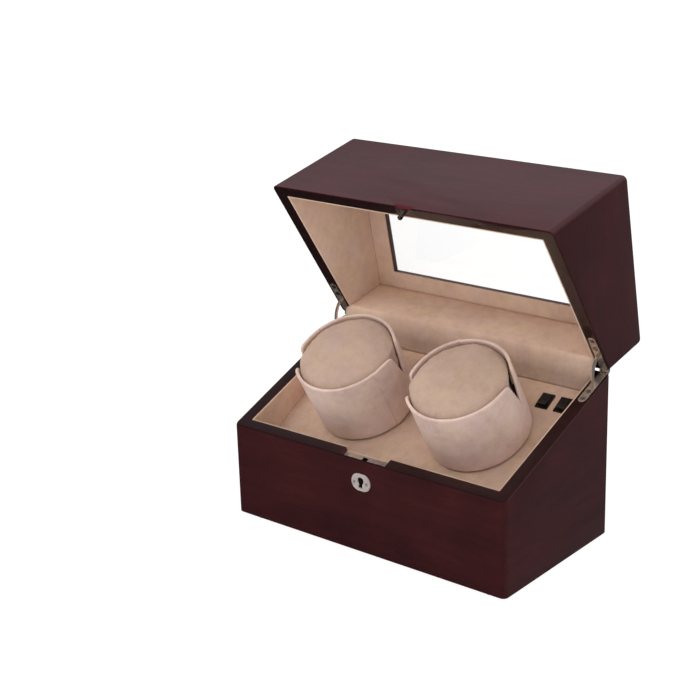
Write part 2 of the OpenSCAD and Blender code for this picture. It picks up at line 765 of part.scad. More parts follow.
// screws with the spacers under the board
module board_screws() color(steel) at_board_screws() difference() {
    union() {
        headed_screw(shank_z = 2.1, shank_l = 12, head_z = 13.62, head_h = 1.6);
        translate([0, 0, 4.97]) cylinder(d = 5, h = 7.01);
    }
    translate([0, 0, 15.2]) cross_slot(2.4, 0.7);
}
module dc_jack() color(black) at_jack() difference() {
    union() {
        cylinder(r = 5.5, h = 1.6);
        translate([0, 0, -14.5]) cylinder(r = 4, h = 15);
        translate([0, 0, -17.5]) cylinder(r = 3, h = 4);
    }
    // socket around its centre pin
    difference() {
        translate([0, 0, -9]) cylinder(r = 2.8, h = 12);
        translate([0, 0, -10]) cylinder(r = 1, h = 10.4);
    }
}
module dc_jack_nut() color(steel) at_jack() translate([0, 0, -face_t - 2.6]) difference() {
    cylinder(r = 6.6, h = 2.5, $fn = 6);
    translate([0, 0, -1]) cylinder(r = 4.02, h = 5);
}
module switch_housings() color(black) at_switches() difference() {
    union() {
        translate([-5.15, -7, 0.02]) cube([10.3, 14, 1]);
        translate([-4.5, -6.3, -12]) cube([9, 12.6, 12.5]);
        // terminals
        for (v = [-3, 3]) translate([-1.6, v - 0.3, -15]) cube([3.2, 0.6, 3.5]);
    }
    translate([-3.7, -5.9, -5.5]) cube([7.4, 11.8, 10]);
    translate([-4.1, 0, 0.1]) rotate([0, 90, 0]) cylinder(r = 1.05, h = 8.2);
}
// rocker with its pivot, tipped 7 degrees; its profile is [along the slope, height]
module rocker(x) color(black) at_switch(x, 0.1) rotate([-7, 0, 0]) {
    rotate([90, 0, 90]) translate([0, 0, -3.5]) linear_extrude(7)
        polygon([[-5.3, 2.5], [-2.5, 1.7], [0, 1.35], [2.5, 1.7], [5.3, 2.5],
            [5.3, -0.6], [2.2, -3.4], [-2.2, -3.4], [-5.3, -0.6]]);
    translate([-4, 0, 0]) rotate([0, 90, 0]) cylinder(r = 1, h = 8);
}
wire_r = 1;
// cable routes as [x, y, z] points: jack, left motor, right motor, left switch
cable_routes = [
    [[85, 49.6, 20], [85, 30, 12], [60, -8, 9], [45, -17, 18], [28.2, -17, 18]],
    [[-29.6, 33.4, 23], [-29, 18, 16], [-24.5, -5, 18], [-24.5, -13.8, 18]],
    [[29.6, 33.4, 23], [24, 14, 9], [-6, -4, 12], [-12.5, -8, 18], [-12.5, -13.8, 18]],
    [[84.9, 48.5, 87.2], [80, 48, 60], [60, 20, 24], [36, 4, 24], [24.5, -9, 18],
        [24.5, -13.8, 18]]
];
module strand(start, end) {
    span = end - start;
    translate(start) rotate([0, acos(span[2] / norm(span)), atan2(span[1], span[0])])
        cylinder(r = wire_r, h = norm(span));
}
module cable(route) {
    for (i = [0:len(route) - 2]) strand(route[i], route[i + 1]);
    for (i = [1:len(route) - 2]) translate(route[i]) sphere(r = wire_r * 1.15, $fn = 32);
}
module wiring() color("#8c2a22") for (route = cable_routes) cable(route);

// ---------- nodes ----------
function shown(name) = node == "all" || node == name;

if (shown("base_case")) base_case();
if (shown("base_lining")) base_lining();
if (shown("bottom_panel")) bottom_panel();
if (shown("bottom_screws")) bottom_screws();
if (shown("feet")) feet();
if (shown("foot_screws")) foot_screws();
if (shown("turntable_panel")) turntable_panel();
if (shown("panel_cover")) panel_cover();
if (shown("panel_battens")) panel_battens();
if (shown("suede_hinge_strip")) suede_hinge_strip();
if (shown("lock_case")) lock_case();
if (shown("lock_face_plate")) lock_face_plate();
if (shown("lock_screws")) lock_screws();
if (shown("lock_bolt")) lock_bolt();
if (shown("escutcheon")) escutcheon();
if (shown("escutcheon_pins")) escutcheon_pins();
if (shown("hinge_base_leaf_left")) hinge_base_leaf(-1);
if (shown("hinge_base_leaf_right")) hinge_base_leaf(1);
if (shown("hinge_arm_left")) hinge_arm(-1);
if (shown("hinge_arm_right")) hinge_arm(1);
if (shown("hinge_pins")) hinge_pins();
if (shown("hinge_screws_base")) hinge_screws_base();
if (shown("motor_bracket_left")) motor_bracket(-1);
if (shown("motor_bracket_right")) motor_bracket(1);
if (shown("bracket_screws")) bracket_screws();
if (shown("gearmotor_left")) gearmotor(-1);
if (shown("gearmotor_right")) gearmotor(1);
if (shown("motor_screws")) motor_screws();
if (shown("spindle_bushes")) spindle_bushes();
if (shown("control_board")) control_board();
if (shown("board_screws")) board_screws();
if (shown("dc_jack")) dc_jack();
if (shown("dc_jack_nut")) dc_jack_nut();
if (shown("switch_housings")) switch_housings();
if (shown("wiring")) wiring();
if (shown("lid_case")) lid_case();
if (shown("lid_lining")) lid_lining();
if (shown("window_lining")) window_lining();
if (shown("window_glass")) window_glass();
if (shown("striker_plate")) striker_plate();
if (shown("striker_screws")) striker_screws();
if (shown("hinge_lid_leaf_left")) hinge_lid_leaf(-1);
if (shown("hinge_lid_leaf_right")) hinge_lid_leaf(1);
if (shown("hinge_screws_lid")) hinge_screws_lid();
if (shown("cup_left")) cup(-1);
if (shown("cup_right")) cup(1);
if (shown("cup_cover_left")) cup_cover(-1);
if (shown("cup_cover_right")) cup_cover(1);
if (shown("spindle_left")) spindle(-1);
if (shown("spindle_right")) spindle(1);
if (shown("drive_gear_left")) drive_gear(-1);
if (shown("drive_gear_right")) drive_gear(1);
if (shown("spindle_clip_left")) spindle_clip(-1);
if (shown("spindle_clip_right")) spindle_clip(1);
if (shown("pillow_left")) pillow(-1);
if (shown("pillow_right")) pillow(1);
if (shown("rocker_left")) rocker(switch_x[0]);
if (shown("rocker_right")) rocker(switch_x[1]);
if (shown("motor_pinion_left")) motor_pinion(-1);
if (shown("motor_pinion_right")) motor_pinion(1);
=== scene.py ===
"""Lacquered watch-winder box with its lid open, two suede cups on a sloping panel.

X runs across the width, -Y is the front with the lock, +Y the back with the hinges, Z is up.
Shapes are drawn in millimetres with the lid closed; M_LID swings the lid's pieces open.
"""
import json
import math
from math import cos, radians as rad, sin

import bmesh
import bpy
from mathutils import Matrix, Vector, noise


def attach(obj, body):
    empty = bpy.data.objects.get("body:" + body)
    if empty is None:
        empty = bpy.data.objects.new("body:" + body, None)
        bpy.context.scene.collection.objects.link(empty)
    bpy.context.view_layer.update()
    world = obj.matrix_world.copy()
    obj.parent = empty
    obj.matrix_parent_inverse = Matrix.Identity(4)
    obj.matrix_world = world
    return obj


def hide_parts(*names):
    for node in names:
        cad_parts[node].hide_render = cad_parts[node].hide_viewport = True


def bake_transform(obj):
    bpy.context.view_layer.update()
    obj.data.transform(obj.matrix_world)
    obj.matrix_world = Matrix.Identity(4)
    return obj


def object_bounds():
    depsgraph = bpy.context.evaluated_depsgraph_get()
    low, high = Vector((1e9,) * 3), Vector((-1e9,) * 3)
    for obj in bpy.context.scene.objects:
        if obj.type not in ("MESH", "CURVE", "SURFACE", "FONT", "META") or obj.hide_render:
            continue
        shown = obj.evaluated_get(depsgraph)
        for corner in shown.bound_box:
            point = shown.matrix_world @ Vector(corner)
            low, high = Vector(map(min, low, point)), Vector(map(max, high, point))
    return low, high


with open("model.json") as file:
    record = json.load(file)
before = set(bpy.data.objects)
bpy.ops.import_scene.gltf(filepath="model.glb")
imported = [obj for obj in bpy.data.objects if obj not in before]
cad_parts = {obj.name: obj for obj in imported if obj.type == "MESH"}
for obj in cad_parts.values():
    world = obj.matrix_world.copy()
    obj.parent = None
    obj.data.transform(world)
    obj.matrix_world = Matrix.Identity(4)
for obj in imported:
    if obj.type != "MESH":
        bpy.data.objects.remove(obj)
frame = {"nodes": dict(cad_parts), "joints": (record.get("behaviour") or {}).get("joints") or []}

cad_box = [list(map(float, c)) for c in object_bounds()]
scene = bpy.context.scene

# ---------------------------------------------------------------- driving dimensions, mm
MM = 0.001                               # metres in a millimetre
HALF_W, HALF_D, TOP_Z = 125.0, 67.5, 173.0
FRONT_H, BACK_H = 72.5, 126.0            # height of the split between base and lid
SPLIT_ANGLE = math.atan((BACK_H - FRONT_H) / (2 * HALF_D))
OUTER = (HALF_W, HALF_D)                 # half sizes of the rectangles the rings follow
INNER = (HALF_W - 10.6, HALF_D - 8.8)
WINDOW = (100.0, 46.5)
BOARD_OPENING = (97.0, 43.5)
CORNER_R = 4.5
INNER_R = 0.6
INNER_EDGE_R = 0.4
LID_GAP = 0.4
LINING = 1.2                             # thickness of the padded suede on the walls
GLUE = 0.05                              # clearance behind the suede
LID_LINING_TOP = 163.0

OPEN_DEG = 78.2
HINGE_JOINT = next(j for j in frame["joints"] if j["name"] == "lid_hinge")["pos_m"]
HINGE_Y, HINGE_Z = HINGE_JOINT[1] * 1000, HINGE_JOINT[2] * 1000
PIN_U, PIN_N = 2 * HALF_D / cos(SPLIT_ANGLE) + 0.6, 1.2   # hinge pin along and off the split
HINGE_X = 119.6
LEAF_U = (112.7, 172.7)                  # reach of a hinge leaf's recess along the split
LEAF_R = 3.25                            # half the recess's width, and its round end

PANEL_Y, PANEL_Z, PANEL_TILT = -28.5, 61.4, rad(30)
PANEL_NORMAL = (0, -0.5, 0.8660254)
PANEL_LEVEL = 67.42                      # the panel's distance from the origin, for shading
CUP_X, CUP_V = 52.0, 42.4                # cup centres on the panel: across, up the slope
ROCKER_X, ROCKER_V = (84.9, 100.6), 82.6
KEYHOLE_Z = 56

CUP_R, CUP_H = 39.6, 58.5
NOTCH_DEG, NOTCH_H = 20.0, 29.0          # bearing and height of a strap notch's foot
COLLAR_T = 2.1
COLLAR_R = CUP_R - COLLAR_T / 2 - 0.1    # middle of the collar's thickness
THIN = 0.82                              # thickness away from rolled edges, as a share
STRAP_DEG = 22                           # bearing of the strap gap the pillow swells into

T, R = Matrix.Translation, Matrix.Rotation
M_BOX = Matrix.Identity(4)
M_SPLIT = T((0, -HALF_D, FRONT_H)) @ R(SPLIT_ANGLE, 4, "X")
M_LID = T((0, HINGE_Y, HINGE_Z)) @ R(rad(-OPEN_DEG), 4, "X") @ T((0, -HINGE_Y, -HINGE_Z))
M_PANEL = T((0, PANEL_Y, PANEL_Z)) @ R(PANEL_TILT, 4, "X")


def cup_matrix(sign):
    return M_PANEL @ T((sign * CUP_X, CUP_V, 0))


def to_metres(matrix):
    return Matrix.Scale(MM, 4) @ matrix


def split_z(y):
    return FRONT_H + (y + HALF_D) * math.tan(SPLIT_ANGLE)


def on_split(offset):
    """Height function that follows the split at a fixed offset."""
    return lambda y: split_z(y) + offset


def panel_z(y):
    return PANEL_Z + (y - PANEL_Y) * math.tan(PANEL_TILT)


def clamp(x, low=0.0, high=1.0):
    return low if x < low else high if x > high else x


def smooth(a, b, x):
    """0 at a, 1 at b, eased at both ends; a may be the larger."""
    t = clamp((x - a) / (b - a))
    return t * t * (3 - 2 * t)


def bell(x, width):
    return math.exp(-(x / width) ** 2)


def turn_between(angle, origin):
    """Signed degrees from origin to angle, between -180 and 180."""
    return (angle - origin + 180.0) % 360.0 - 180.0


# ---------------------------------------------------------------- shader nodes
class Nodes:
    """Fills a node tree; methods take sockets or plain values and return sockets."""

    def __init__(self, tree):
        tree.nodes.clear()
        self.tree = tree

    def add(self, kind, inputs=None, **settings):
        node = self.tree.nodes.new("ShaderNode" + kind)
        for name, value in settings.items():
            setattr(node, name, value)
        for key, value in (inputs or {}).items():
            if isinstance(value, bpy.types.NodeSocket):
                self.tree.links.new(value, node.inputs[key])
            else:
                node.inputs[key].default_value = value
        return node

    def output(self, shader, kind="OutputMaterial"):
        self.add(kind, {"Surface": shader})

    def principled(self, **inputs):
        """Input names are written with underscores for spaces."""
        named = {name.replace("_", " "): value for name, value in inputs.items()}
        return self.add("BsdfPrincipled", named).outputs[0]

    def mix_shader(self, factor, first, second):
        return self.add("MixShader", {0: factor, 1: first, 2: second}).outputs[0]

    def math(self, operation, *values):
        return self.add("Math", dict(enumerate(values)), operation=operation).outputs[0]

    def vector(self, operation, *values, output="Vector"):
        node = self.add("VectorMath", dict(enumerate(values)), operation=operation)
        return node.outputs[output]

    def scale(self, vector, factor):
        node = self.add("VectorMath", {0: vector, "Scale": factor}, operation="SCALE")
        return node.outputs["Vector"]

    def weighted(self, *pairs):
        """Sum of socket times weight."""
        total = self.math("MULTIPLY", *pairs[0])
        for socket, weight in pairs[1:]:
            total = self.math("MULTIPLY_ADD", socket, weight, total)
        return total

    def mix(self, data_type, factor, first, second):
        slot, result = {"VECTOR": (4, 1), "RGBA": (6, 2)}[data_type]
        inputs = {0: factor, slot: first, slot + 1: second}
        return self.add("Mix", inputs, data_type=data_type).outputs[result]

    def map_range(self, value, source, target=(0.0, 1.0), kind="LINEAR"):
        inputs = {0: value, 1: source[0], 2: source[1], 3: target[0], 4: target[1]}
        return self.add("MapRange", inputs, interpolation_type=kind).outputs[0]

    def ramp(self, factor, stops):
        """Colour ramp; a stop is (position, grey level or colour)."""
        node = self.add("ValToRGB", {"Fac": factor})
        elements = node.color_ramp.elements
        while len(elements) < len(stops):
            elements.new(0.5)
        for element, (position, value) in zip(elements, stops):
            element.position = position
            element.color = (*(value if isinstance(value, tuple) else (value,) * 3), 1)
        return node.outputs["Color"]

    def noise(self, vector, scale, detail=2.0, roughness=0.5, distortion=0.0, output="Fac"):
        return self.add("TexNoise", {
            "Vector": vector, "Scale": scale, "Detail": detail,
            "Roughness": roughness, "Distortion": distortion}).outputs[output]

    def bevel(self, radius):
        return self.add("Bevel", {"Radius": radius}, samples=4).outputs["Normal"]

    def bump(self, height, strength, distance, normal=None):
        inputs = {"Strength": strength, "Distance": distance, "Height": height}
        if normal:
            inputs["Normal"] = normal
        return self.add("Bump", inputs).outputs["Normal"]

    def turned(self, vector, center, angle):
        """Turns a vector about X; an angle of 0 leaves it alone."""
        if not angle:
            return vector
        inputs = {"Vector": vector, "Center": center, "Angle": angle}
        return self.add("VectorRotate", inputs, rotation_type="X_AXIS").outputs["Vector"]

    def coords_mm(self, turn=0.0):
        """Object coordinates in mm; turn closes the lid, so its grain follows the box."""
        coords = self.add("TexCoord").outputs["Object"]
        coords = self.turned(coords, (0, HINGE_Y * MM, HINGE_Z * MM), turn)
        return self.scale(coords, 1000.0)

    def facing(self, normal, direction, threshold):
        """1 where the normal points along direction."""
        dot = self.vector("DOT_PRODUCT", normal, direction, output="Value")
        return self.math("GREATER_THAN", dot, threshold)

    def along_panel_normal(self, coords):
        return self.vector("DOT_PRODUCT", coords, PANEL_NORMAL, output="Value")


def new_material(name):
    material = bpy.data.materials.new(name)
    material.use_nodes = True
    return material, Nodes(material.node_tree)


def shade(color, *factors):
    """Colour times one factor, or times one factor per channel."""
    return tuple(x * k for x, k in zip(color, factors if len(factors) == 3 else factors * 3))


# ---------------------------------------------------------------- materials
# Noise scales are per mm; bump distances and bevel radii are in metres.
def lacquered_wood(name, rim_normal, rim_tone, rim_coat, turn=0.0, cut_normal=None):
    """Dark red veneer under clear coat; the rim along the split is darker."""
    material, nodes = new_material(name)
    coords = nodes.coords_mm(turn)
    normal = nodes.turned(nodes.add("TexCoord").outputs["Normal"], (0, 0, 0), turn)
    rim = nodes.facing(normal, rim_normal, threshold=0.84)
    # on the left and right walls the grain runs along Y instead of X
    world_normal = nodes.add("NewGeometry").outputs["Normal"]
    across = nodes.add("SeparateXYZ", {0: world_normal}).outputs["X"]
    end_wall = nodes.math("GREATER_THAN", nodes.math("ABSOLUTE", across), 0.72)
    stretched = nodes.vector("MULTIPLY", coords, (0.006, 0.016, 0.016))
    warp = nodes.noise(stretched, scale=1.0, output="Color")
    warp = nodes.scale(nodes.vector("SUBTRACT", warp, (0.5, 0.5, 0.5)), 26.0)
    warped = nodes.vector("ADD", coords, warp)

    def grain(along, across, detail, roughness):
        along_x = nodes.vector("MULTIPLY", warped, (along, across, across))
        along_y = nodes.vector("MULTIPLY", warped, (across, along, across))
        place = nodes.mix("VECTOR", end_wall, along_x, along_y)
        return nodes.noise(place, scale=1.0, detail=detail, roughness=roughness)

    bands = grain(along=0.007, across=0.13, detail=3.0, roughness=0.55)
    streaks = grain(along=0.02, across=0.75, detail=3.0, roughness=0.6)
    pores = grain(along=0.09, across=3.2, detail=1.0, roughness=0.5)
    blotches = nodes.noise(coords, scale=0.022)
    figure = nodes.weighted((streaks, 0.24), (bands, 0.32), (blotches, 0.34), (pores, 0.12))
    color = nodes.ramp(nodes.math("ADD", figure, 0.10), [
        (0.42, (0.0265, 0.0043, 0.0062)), (0.56, (0.038, 0.0055, 0.0074)),
        (0.68, (0.051, 0.0072, 0.0086)), (0.82, (0.068, 0.0105, 0.0105))])
    color = nodes.scale(color, nodes.map_range(rim, (0.0, 1.0), (1.0, rim_tone)))
    coat = nodes.map_range(rim, (0.0, 1.0), (1.0, rim_coat))
    if cut_normal:
        # the slanted cut in the front edge is redder and barely coated
        cut_face = nodes.facing(normal, cut_normal, threshold=0.97)
        color = nodes.mix("RGBA", cut_face, color, (0.075, 0.0075, 0.0125, 1))
        coat = nodes.math("MULTIPLY", coat, nodes.map_range(cut_face, (0.0, 1.0), (1.0, 0.12)))
    flow = nodes.noise(coords, scale=0.10)
    dust = nodes.noise(coords, scale=0.55, detail=4.0, roughness=0.65)
    haze = nodes.math("ADD", nodes.math("MULTIPLY", flow, 0.5), nodes.math("MULTIPLY", dust, 0.5))
    ripple = nodes.noise(coords, scale=0.16, detail=1.0, roughness=0.4)
    nodes.output(nodes.principled(
        Base_Color=color, Roughness=0.42, Specular_IOR_Level=0.22,
        Normal=nodes.bump(streaks, strength=0.18, distance=0.00012,
                          normal=nodes.bevel(radius=0.00035)),
        Coat_Weight=coat, Coat_Roughness=nodes.ramp(haze, [(0.35, 0.025), (0.7, 0.085)]),
        Coat_IOR=1.46, Coat_Normal=nodes.bump(ripple, strength=0.10, distance=0.0004)))
    return material


def suede(name, color, nap=1.0, turn=0.0, edges=False, painted_light_fades=()):
    """Suede. nap scales the broad mottling; edges reads the "edge" attribute, a dark seam line and
    painted highlights on rolled edges;
    a fade is painted light and shade, (axis, low, high, [(place, brightness)]), in mm along X, Y,
    Z or off the panel."""
    material, nodes = new_material(name)
    coords = nodes.coords_mm(turn)
    broad = nodes.noise(coords, scale=0.026, distortion=0.15)
    medium = nodes.noise(coords, scale=0.14, detail=3.0, roughness=0.6, distortion=0.15)
    fine = nodes.noise(coords, scale=1.3, detail=4.0, roughness=0.7)
    fibre = nodes.noise(coords, scale=5.5, roughness=0.6)
    mottle = nodes.weighted((medium, 0.30 * nap), (broad, 0.40 * nap), (fine, 0.22),
                            (fibre, 0.16))
    dark = shade(color, 0.80, 0.765, 0.74)
    light = shade(color, 1.14, 1.17, 1.20)
    middle = 0.19 + 0.35 * nap
    shaded = nodes.ramp(mottle, [(middle - 0.15, dark), (middle, color), (middle + 0.15, light)])
    patches = nodes.noise(coords, scale=0.045, detail=3.0, roughness=0.6, distortion=0.15)
    tint = nodes.ramp(nodes.map_range(patches, (0.35, 0.65)),
                      [(0.0, (1.02, 1.0, 0.95)), (1.0, (0.985, 0.955, 1.01))])
    shaded = nodes.vector("MULTIPLY", shaded, tint)
    # painted light and shade: each fade brightens or darkens the colour along an axis
    for axis, low, high, stops in painted_light_fades:
        if axis == "panel":
            place = nodes.math("SUBTRACT", nodes.along_panel_normal(coords), PANEL_LEVEL)
        else:
            place = nodes.add("SeparateXYZ", {0: coords}).outputs[axis]
        # the ramp holds half the brightness, to leave room above 1
        halved = [((at - low) / (high - low), level * 0.5) for at, level in stops]
        level = nodes.ramp(nodes.map_range(place, (low, high)), halved)
        shaded = nodes.scale(shaded, nodes.math("MULTIPLY", level, 2.0))
    # the edge attribute darkens the seam line and paints highlights along the rolled edges
    if edges:
        edge = nodes.add("Attribute", attribute_type="GEOMETRY", attribute_name="edge")
        level = nodes.map_range(edge.outputs["Fac"], (-1.0, 1.0), (0.42, 1.58))
        shaded = nodes.scale(shaded, nodes.math("MINIMUM", level, 1.12))
    pile = nodes.math("ADD", nodes.math("MULTIPLY", fine, 0.6),
                      nodes.math("MULTIPLY", fibre, 0.4))
    dents = nodes.bump(medium, strength=0.35, distance=0.0009)
    nodes.output(nodes.principled(
        Base_Color=shaded, Roughness=0.96, Specular_IOR_Level=0.12,
        Normal=nodes.bump(pile, strength=0.55, distance=0.00022, normal=dents),
        Sheen_Weight=0.32, Sheen_Roughness=0.55, Sheen_Tint=(*light, 1)))
    return material


def metal(name, color, roughness, brush=(0.4, 6.0, 6.0), metallic=1.0, variation=1.0):
    """Brushed metal; brush is the noise scale per axis, finest across the strokes."""
    material, nodes = new_material(name)
    coords = nodes.coords_mm()
    strokes = nodes.noise(nodes.vector("MULTIPLY", coords, brush), scale=1.0, detail=3.0,
                          roughness=0.6)
    spots = nodes.noise(coords, scale=0.5, detail=3.0, roughness=0.6)
    nodes.output(nodes.principled(
        Base_Color=nodes.ramp(nodes.weighted((spots, 0.4), (strokes, 0.6)), [
            (0.35, shade(color, 1 - 0.22 * variation)),
            (0.65, shade(color, 1 + 0.12 * variation))]),
        Metallic=metallic,
        Roughness=nodes.ramp(strokes, [(0.3, roughness * (1 - 0.25 * variation)),
                                       (0.7, roughness * (1 + 0.35 * variation))]),
        Normal=nodes.bump(strokes, strength=0.25, distance=0.00006,
                          normal=nodes.bevel(radius=0.00012))))
    return material


def turn_in_suede(nodes, coords, color, roughness, grain, height):
    """Suede turned in over the drum's rim, above height; below it the plastic is bare."""
    low = PANEL_LEVEL + height
    turned_in = nodes.map_range(nodes.along_panel_normal(coords), (low, low + 0.8),
                                kind="SMOOTHSTEP")
    cloth = nodes.scale((0.30, 0.215, 0.165), nodes.math("MULTIPLY_ADD", grain, 0.5, 0.75))
    color = nodes.mix("VECTOR", turned_in, color, cloth)
    return color, nodes.math("MAXIMUM", roughness, turned_in)


def rocker_marks(nodes, color, center_x):
    """Two small pale dots on the rocking face."""
    coords = nodes.coords_mm(-PANEL_TILT)
    marks = None
    for offset in (-3.0, 3.0):
        center = (center_x, ROCKER_V + 6.02 + offset, 0.0)
        flat = nodes.vector("MULTIPLY", nodes.vector("SUBTRACT", coords, center),
                            (1.0, 1.0, 0.0))
        distance = nodes.vector("LENGTH", flat, output="Value")
        dot = nodes.map_range(distance, (0.55, 0.95), (1.0, 0.0))
        marks = nodes.math("MAXIMUM", marks, dot) if marks else dot
    return nodes.mix("RGBA", marks, color, (0.14, 0.145, 0.17, 1))


def plastic(name, color, roughness=0.4, specular=0.5, grain=2.5, turned_in=None, marks_x=None):
    """Moulded plastic; turned_in is the height of turned-in suede, marks_x centres the dots."""
    material, nodes = new_material(name)
    coords = nodes.coords_mm()
    fine = nodes.noise(coords, scale=grain, detail=3.0, roughness=0.6)
    broad = nodes.noise(coords, scale=0.15)
    shaded = nodes.ramp(nodes.weighted((broad, 0.5), (fine, 0.5)),
                        [(0.35, shade(color, 0.82)), (0.65, shade(color, 1.15))])
    gloss = nodes.ramp(broad, [(0.3, roughness * 0.85), (0.7, roughness * 1.2)])
    if turned_in is not None:
        shaded, gloss = turn_in_suede(nodes, coords, shaded, gloss, fine, turned_in)
    if marks_x is not None:
        shaded = rocker_marks(nodes, shaded, marks_x)
    nodes.output(nodes.principled(
        Base_Color=shaded, Roughness=gloss, Specular_IOR_Level=specular,
        Normal=nodes.bump(fine, strength=0.2, distance=0.00005,
                          normal=nodes.bevel(radius=0.00015))))
    return material


def plain_wood(name, color):
    """Bare board with its grain along X."""
    material, nodes = new_material(name)
    coords = nodes.coords_mm()
    bands = nodes.noise(nodes.vector("MULTIPLY", coords, (0.01, 0.35, 0.35)), scale=1.0,
                        detail=4.0, roughness=0.6, distortion=0.3)
    fibre = nodes.noise(nodes.vector("MULTIPLY", coords, (0.05, 2.2, 2.2)), scale=1.0)
    nodes.output(nodes.principled(
        Base_Color=nodes.ramp(nodes.weighted((fibre, 0.3), (bands, 0.7)), [
            (0.3, shade(color, 0.6)), (0.5, color), (0.72, shade(color, 1.3))]),
        Roughness=0.62, Specular_IOR_Level=0.3,
        Normal=nodes.bump(fibre, strength=0.3, distance=0.00015)))
    return material


def window_glass(name):
    """Clear pane with a faint reflection."""
    material, nodes = new_material(name)
    smears = nodes.noise(nodes.coords_mm(), scale=0.03)
    clear = nodes.add("BsdfTransparent", {"Color": (0.985, 0.99, 0.987, 1)}).outputs[0]
    shine = nodes.add("BsdfGlossy", {
        "Color": (1, 1, 1, 1),
        "Roughness": nodes.ramp(smears, [(0.4, 0.012), (0.7, 0.045)])}).outputs[0]
    fresnel = nodes.add("Fresnel", {"IOR": 1.30}).outputs[0]
    nodes.output(nodes.mix_shader(nodes.math("MULTIPLY", fresnel, 0.9), clear, shine))
    return material


LID_TURN = rad(OPEN_DEG)
BASE_LACQUER = lacquered_wood("lacquer_base", rim_normal=(0, -0.368, 0.93), rim_tone=0.36,
                              rim_coat=0.17)
LID_LACQUER = lacquered_wood("lacquer_lid", rim_normal=(0, 0.368, -0.93), rim_tone=0.4,
                             rim_coat=1.0, turn=LID_TURN, cut_normal=(0, -0.866, -0.5))
# painted shade darkening the base lining and panel towards the front, painted light on the left
# wall's lining
BASE_SUEDE = suede("suede_lining_base", (0.550, 0.400, 0.305), painted_light_fades=[
    ("Y", -60.0, 60.0, [(-55, 0.76), (-30, 0.93), (-5, 1.10), (40, 1.08)]),
    ("X", -116.0, -110.0, [(-113.15, 1.32), (-113.0, 1.0)])])
# the lid's lining is the same suede as the base's, its colour painted lighter in place of the
# light it lacks
LID_SUEDE = suede("suede_lining_lid", (0.73, 0.562, 0.445), nap=0.8, turn=LID_TURN)
# painted shade in a darker band low on the strip, then painted light brightening it up towards the
# lid
STRIP_SUEDE = suede("suede_strip", (0.53, 0.395, 0.312), nap=0.9, painted_light_fades=[
    ("Z", 110.0, 150.0, [(111, 0.92), (115, 0.80), (121, 0.82), (127, 0.98), (133, 1.16),
                         (138, 1.45)])])
# painted light at the foot of the cups, fading out by 28 mm up the cup; edges adds the seam line
# and painted edge highlights
CUP_SUEDE = suede("suede_cup_cover", (0.628, 0.484, 0.419), nap=0.95, edges=True, painted_light_fades=[
    ("panel", 0.0, 60.0, [(1, 1.17), (14, 1.08), (28, 1.0), (59, 1.0)])])
PILLOW_SUEDE = suede("suede_pillow", (0.465, 0.342, 0.270), nap=0.75)

DRUM = {"color": (0.012, 0.0105, 0.011), "roughness": 0.6, "specular": 0.3}
ROCKER = {"color": (0.0085, 0.0080, 0.0095), "roughness": 0.30, "specular": 0.35}

# materials of the pieces whose meshes come from the frame: (material, nodes)
NODE_MATERIALS = [
    (metal("steel_brushed", (0.52, 0.47, 0.43), roughness=0.42, metallic=0.6),
     ["escutcheon_pins", "motor_bracket_left", "motor_bracket_right", "spindle_left",
      "spindle_right"]),
    (metal("steel_zinc", (0.50, 0.49, 0.47), roughness=0.30, brush=(3, 3, 3)),
     ["bottom_screws", "foot_screws", "lock_screws", "hinge_screws_base", "hinge_screws_lid",
      "bracket_screws", "motor_screws", "board_screws", "dc_jack_nut", "spindle_clip_left",
      "spindle_clip_right"]),
    (metal("steel_polished", (0.62, 0.57, 0.52), roughness=0.16, brush=(0.6, 4, 4)),
     ["lock_face_plate"]),
    (metal("steel_hinge", (0.76, 0.665, 0.57), roughness=0.22, brush=(0.5, 5, 5),
           metallic=0.85, variation=0.6),
     ["hinge_base_leaf_left", "hinge_base_leaf_right", "hinge_arm_left", "hinge_arm_right",
      "hinge_lid_leaf_left", "hinge_lid_leaf_right", "hinge_pins"]),
    (metal("steel_satin", (0.55, 0.54, 0.52), roughness=0.42, brush=(0.6, 4, 4)),
     ["lock_case"]),
    (metal("steel_dark_polished", (0.16, 0.135, 0.13), roughness=0.14, brush=(0.6, 4, 4),
           metallic=0.9),
     ["striker_plate", "striker_screws"]),
    (metal("steel_escutcheon", (0.63, 0.56, 0.545), roughness=0.45, brush=(1.6, 1.6, 3.0),
           metallic=0.3),
     ["escutcheon"]),
    (metal("brass_turned", (0.70, 0.50, 0.22), roughness=0.28, brush=(4, 4, 4)),
     ["lock_bolt", "spindle_bushes", "motor_pinion_left", "motor_pinion_right"]),
    (plastic("black_gloss_plastic", (0.0075, 0.0070, 0.0080), roughness=0.38, specular=0.35),
     ["dc_jack", "switch_housings"]),
    (plastic("rocker_plastic_left", **ROCKER, marks_x=ROCKER_X[0]), ["rocker_left"]),
    (plastic("rocker_plastic_right", **ROCKER, marks_x=ROCKER_X[1]), ["rocker_right"]),
    (plastic("black_matte_plastic", **DRUM, turned_in=41.2), ["cup_right"]),
    (plastic("black_matte_plastic_left", **DRUM, turned_in=31.0), ["cup_left"]),
    (plastic("acetal", (0.78, 0.75, 0.66), roughness=0.45),
     ["drive_gear_left", "drive_gear_right"]),
    (plastic("black_rubber", (0.016, 0.015, 0.015), roughness=0.75, specular=0.3, grain=4.0),
     ["feet"]),
    (metal("motor_zinc", (0.42, 0.43, 0.44), roughness=0.38, brush=(4, 0.5, 0.5)),
     ["gearmotor_left", "gearmotor_right"]),
    (plastic("solder_mask", (0.015, 0.10, 0.04), roughness=0.35, grain=1.2),
     ["control_board"]),
    (plastic("wire_pvc", (0.30, 0.02, 0.02)), ["wiring"]),
    (plain_wood("plywood", (0.42, 0.27, 0.15)), ["turntable_panel", "panel_battens"]),
    (plain_wood("bottom_board", (0.055, 0.028, 0.022)), ["bottom_panel"]),
    (window_glass("window_glass_mat"), ["window_glass"]),
]


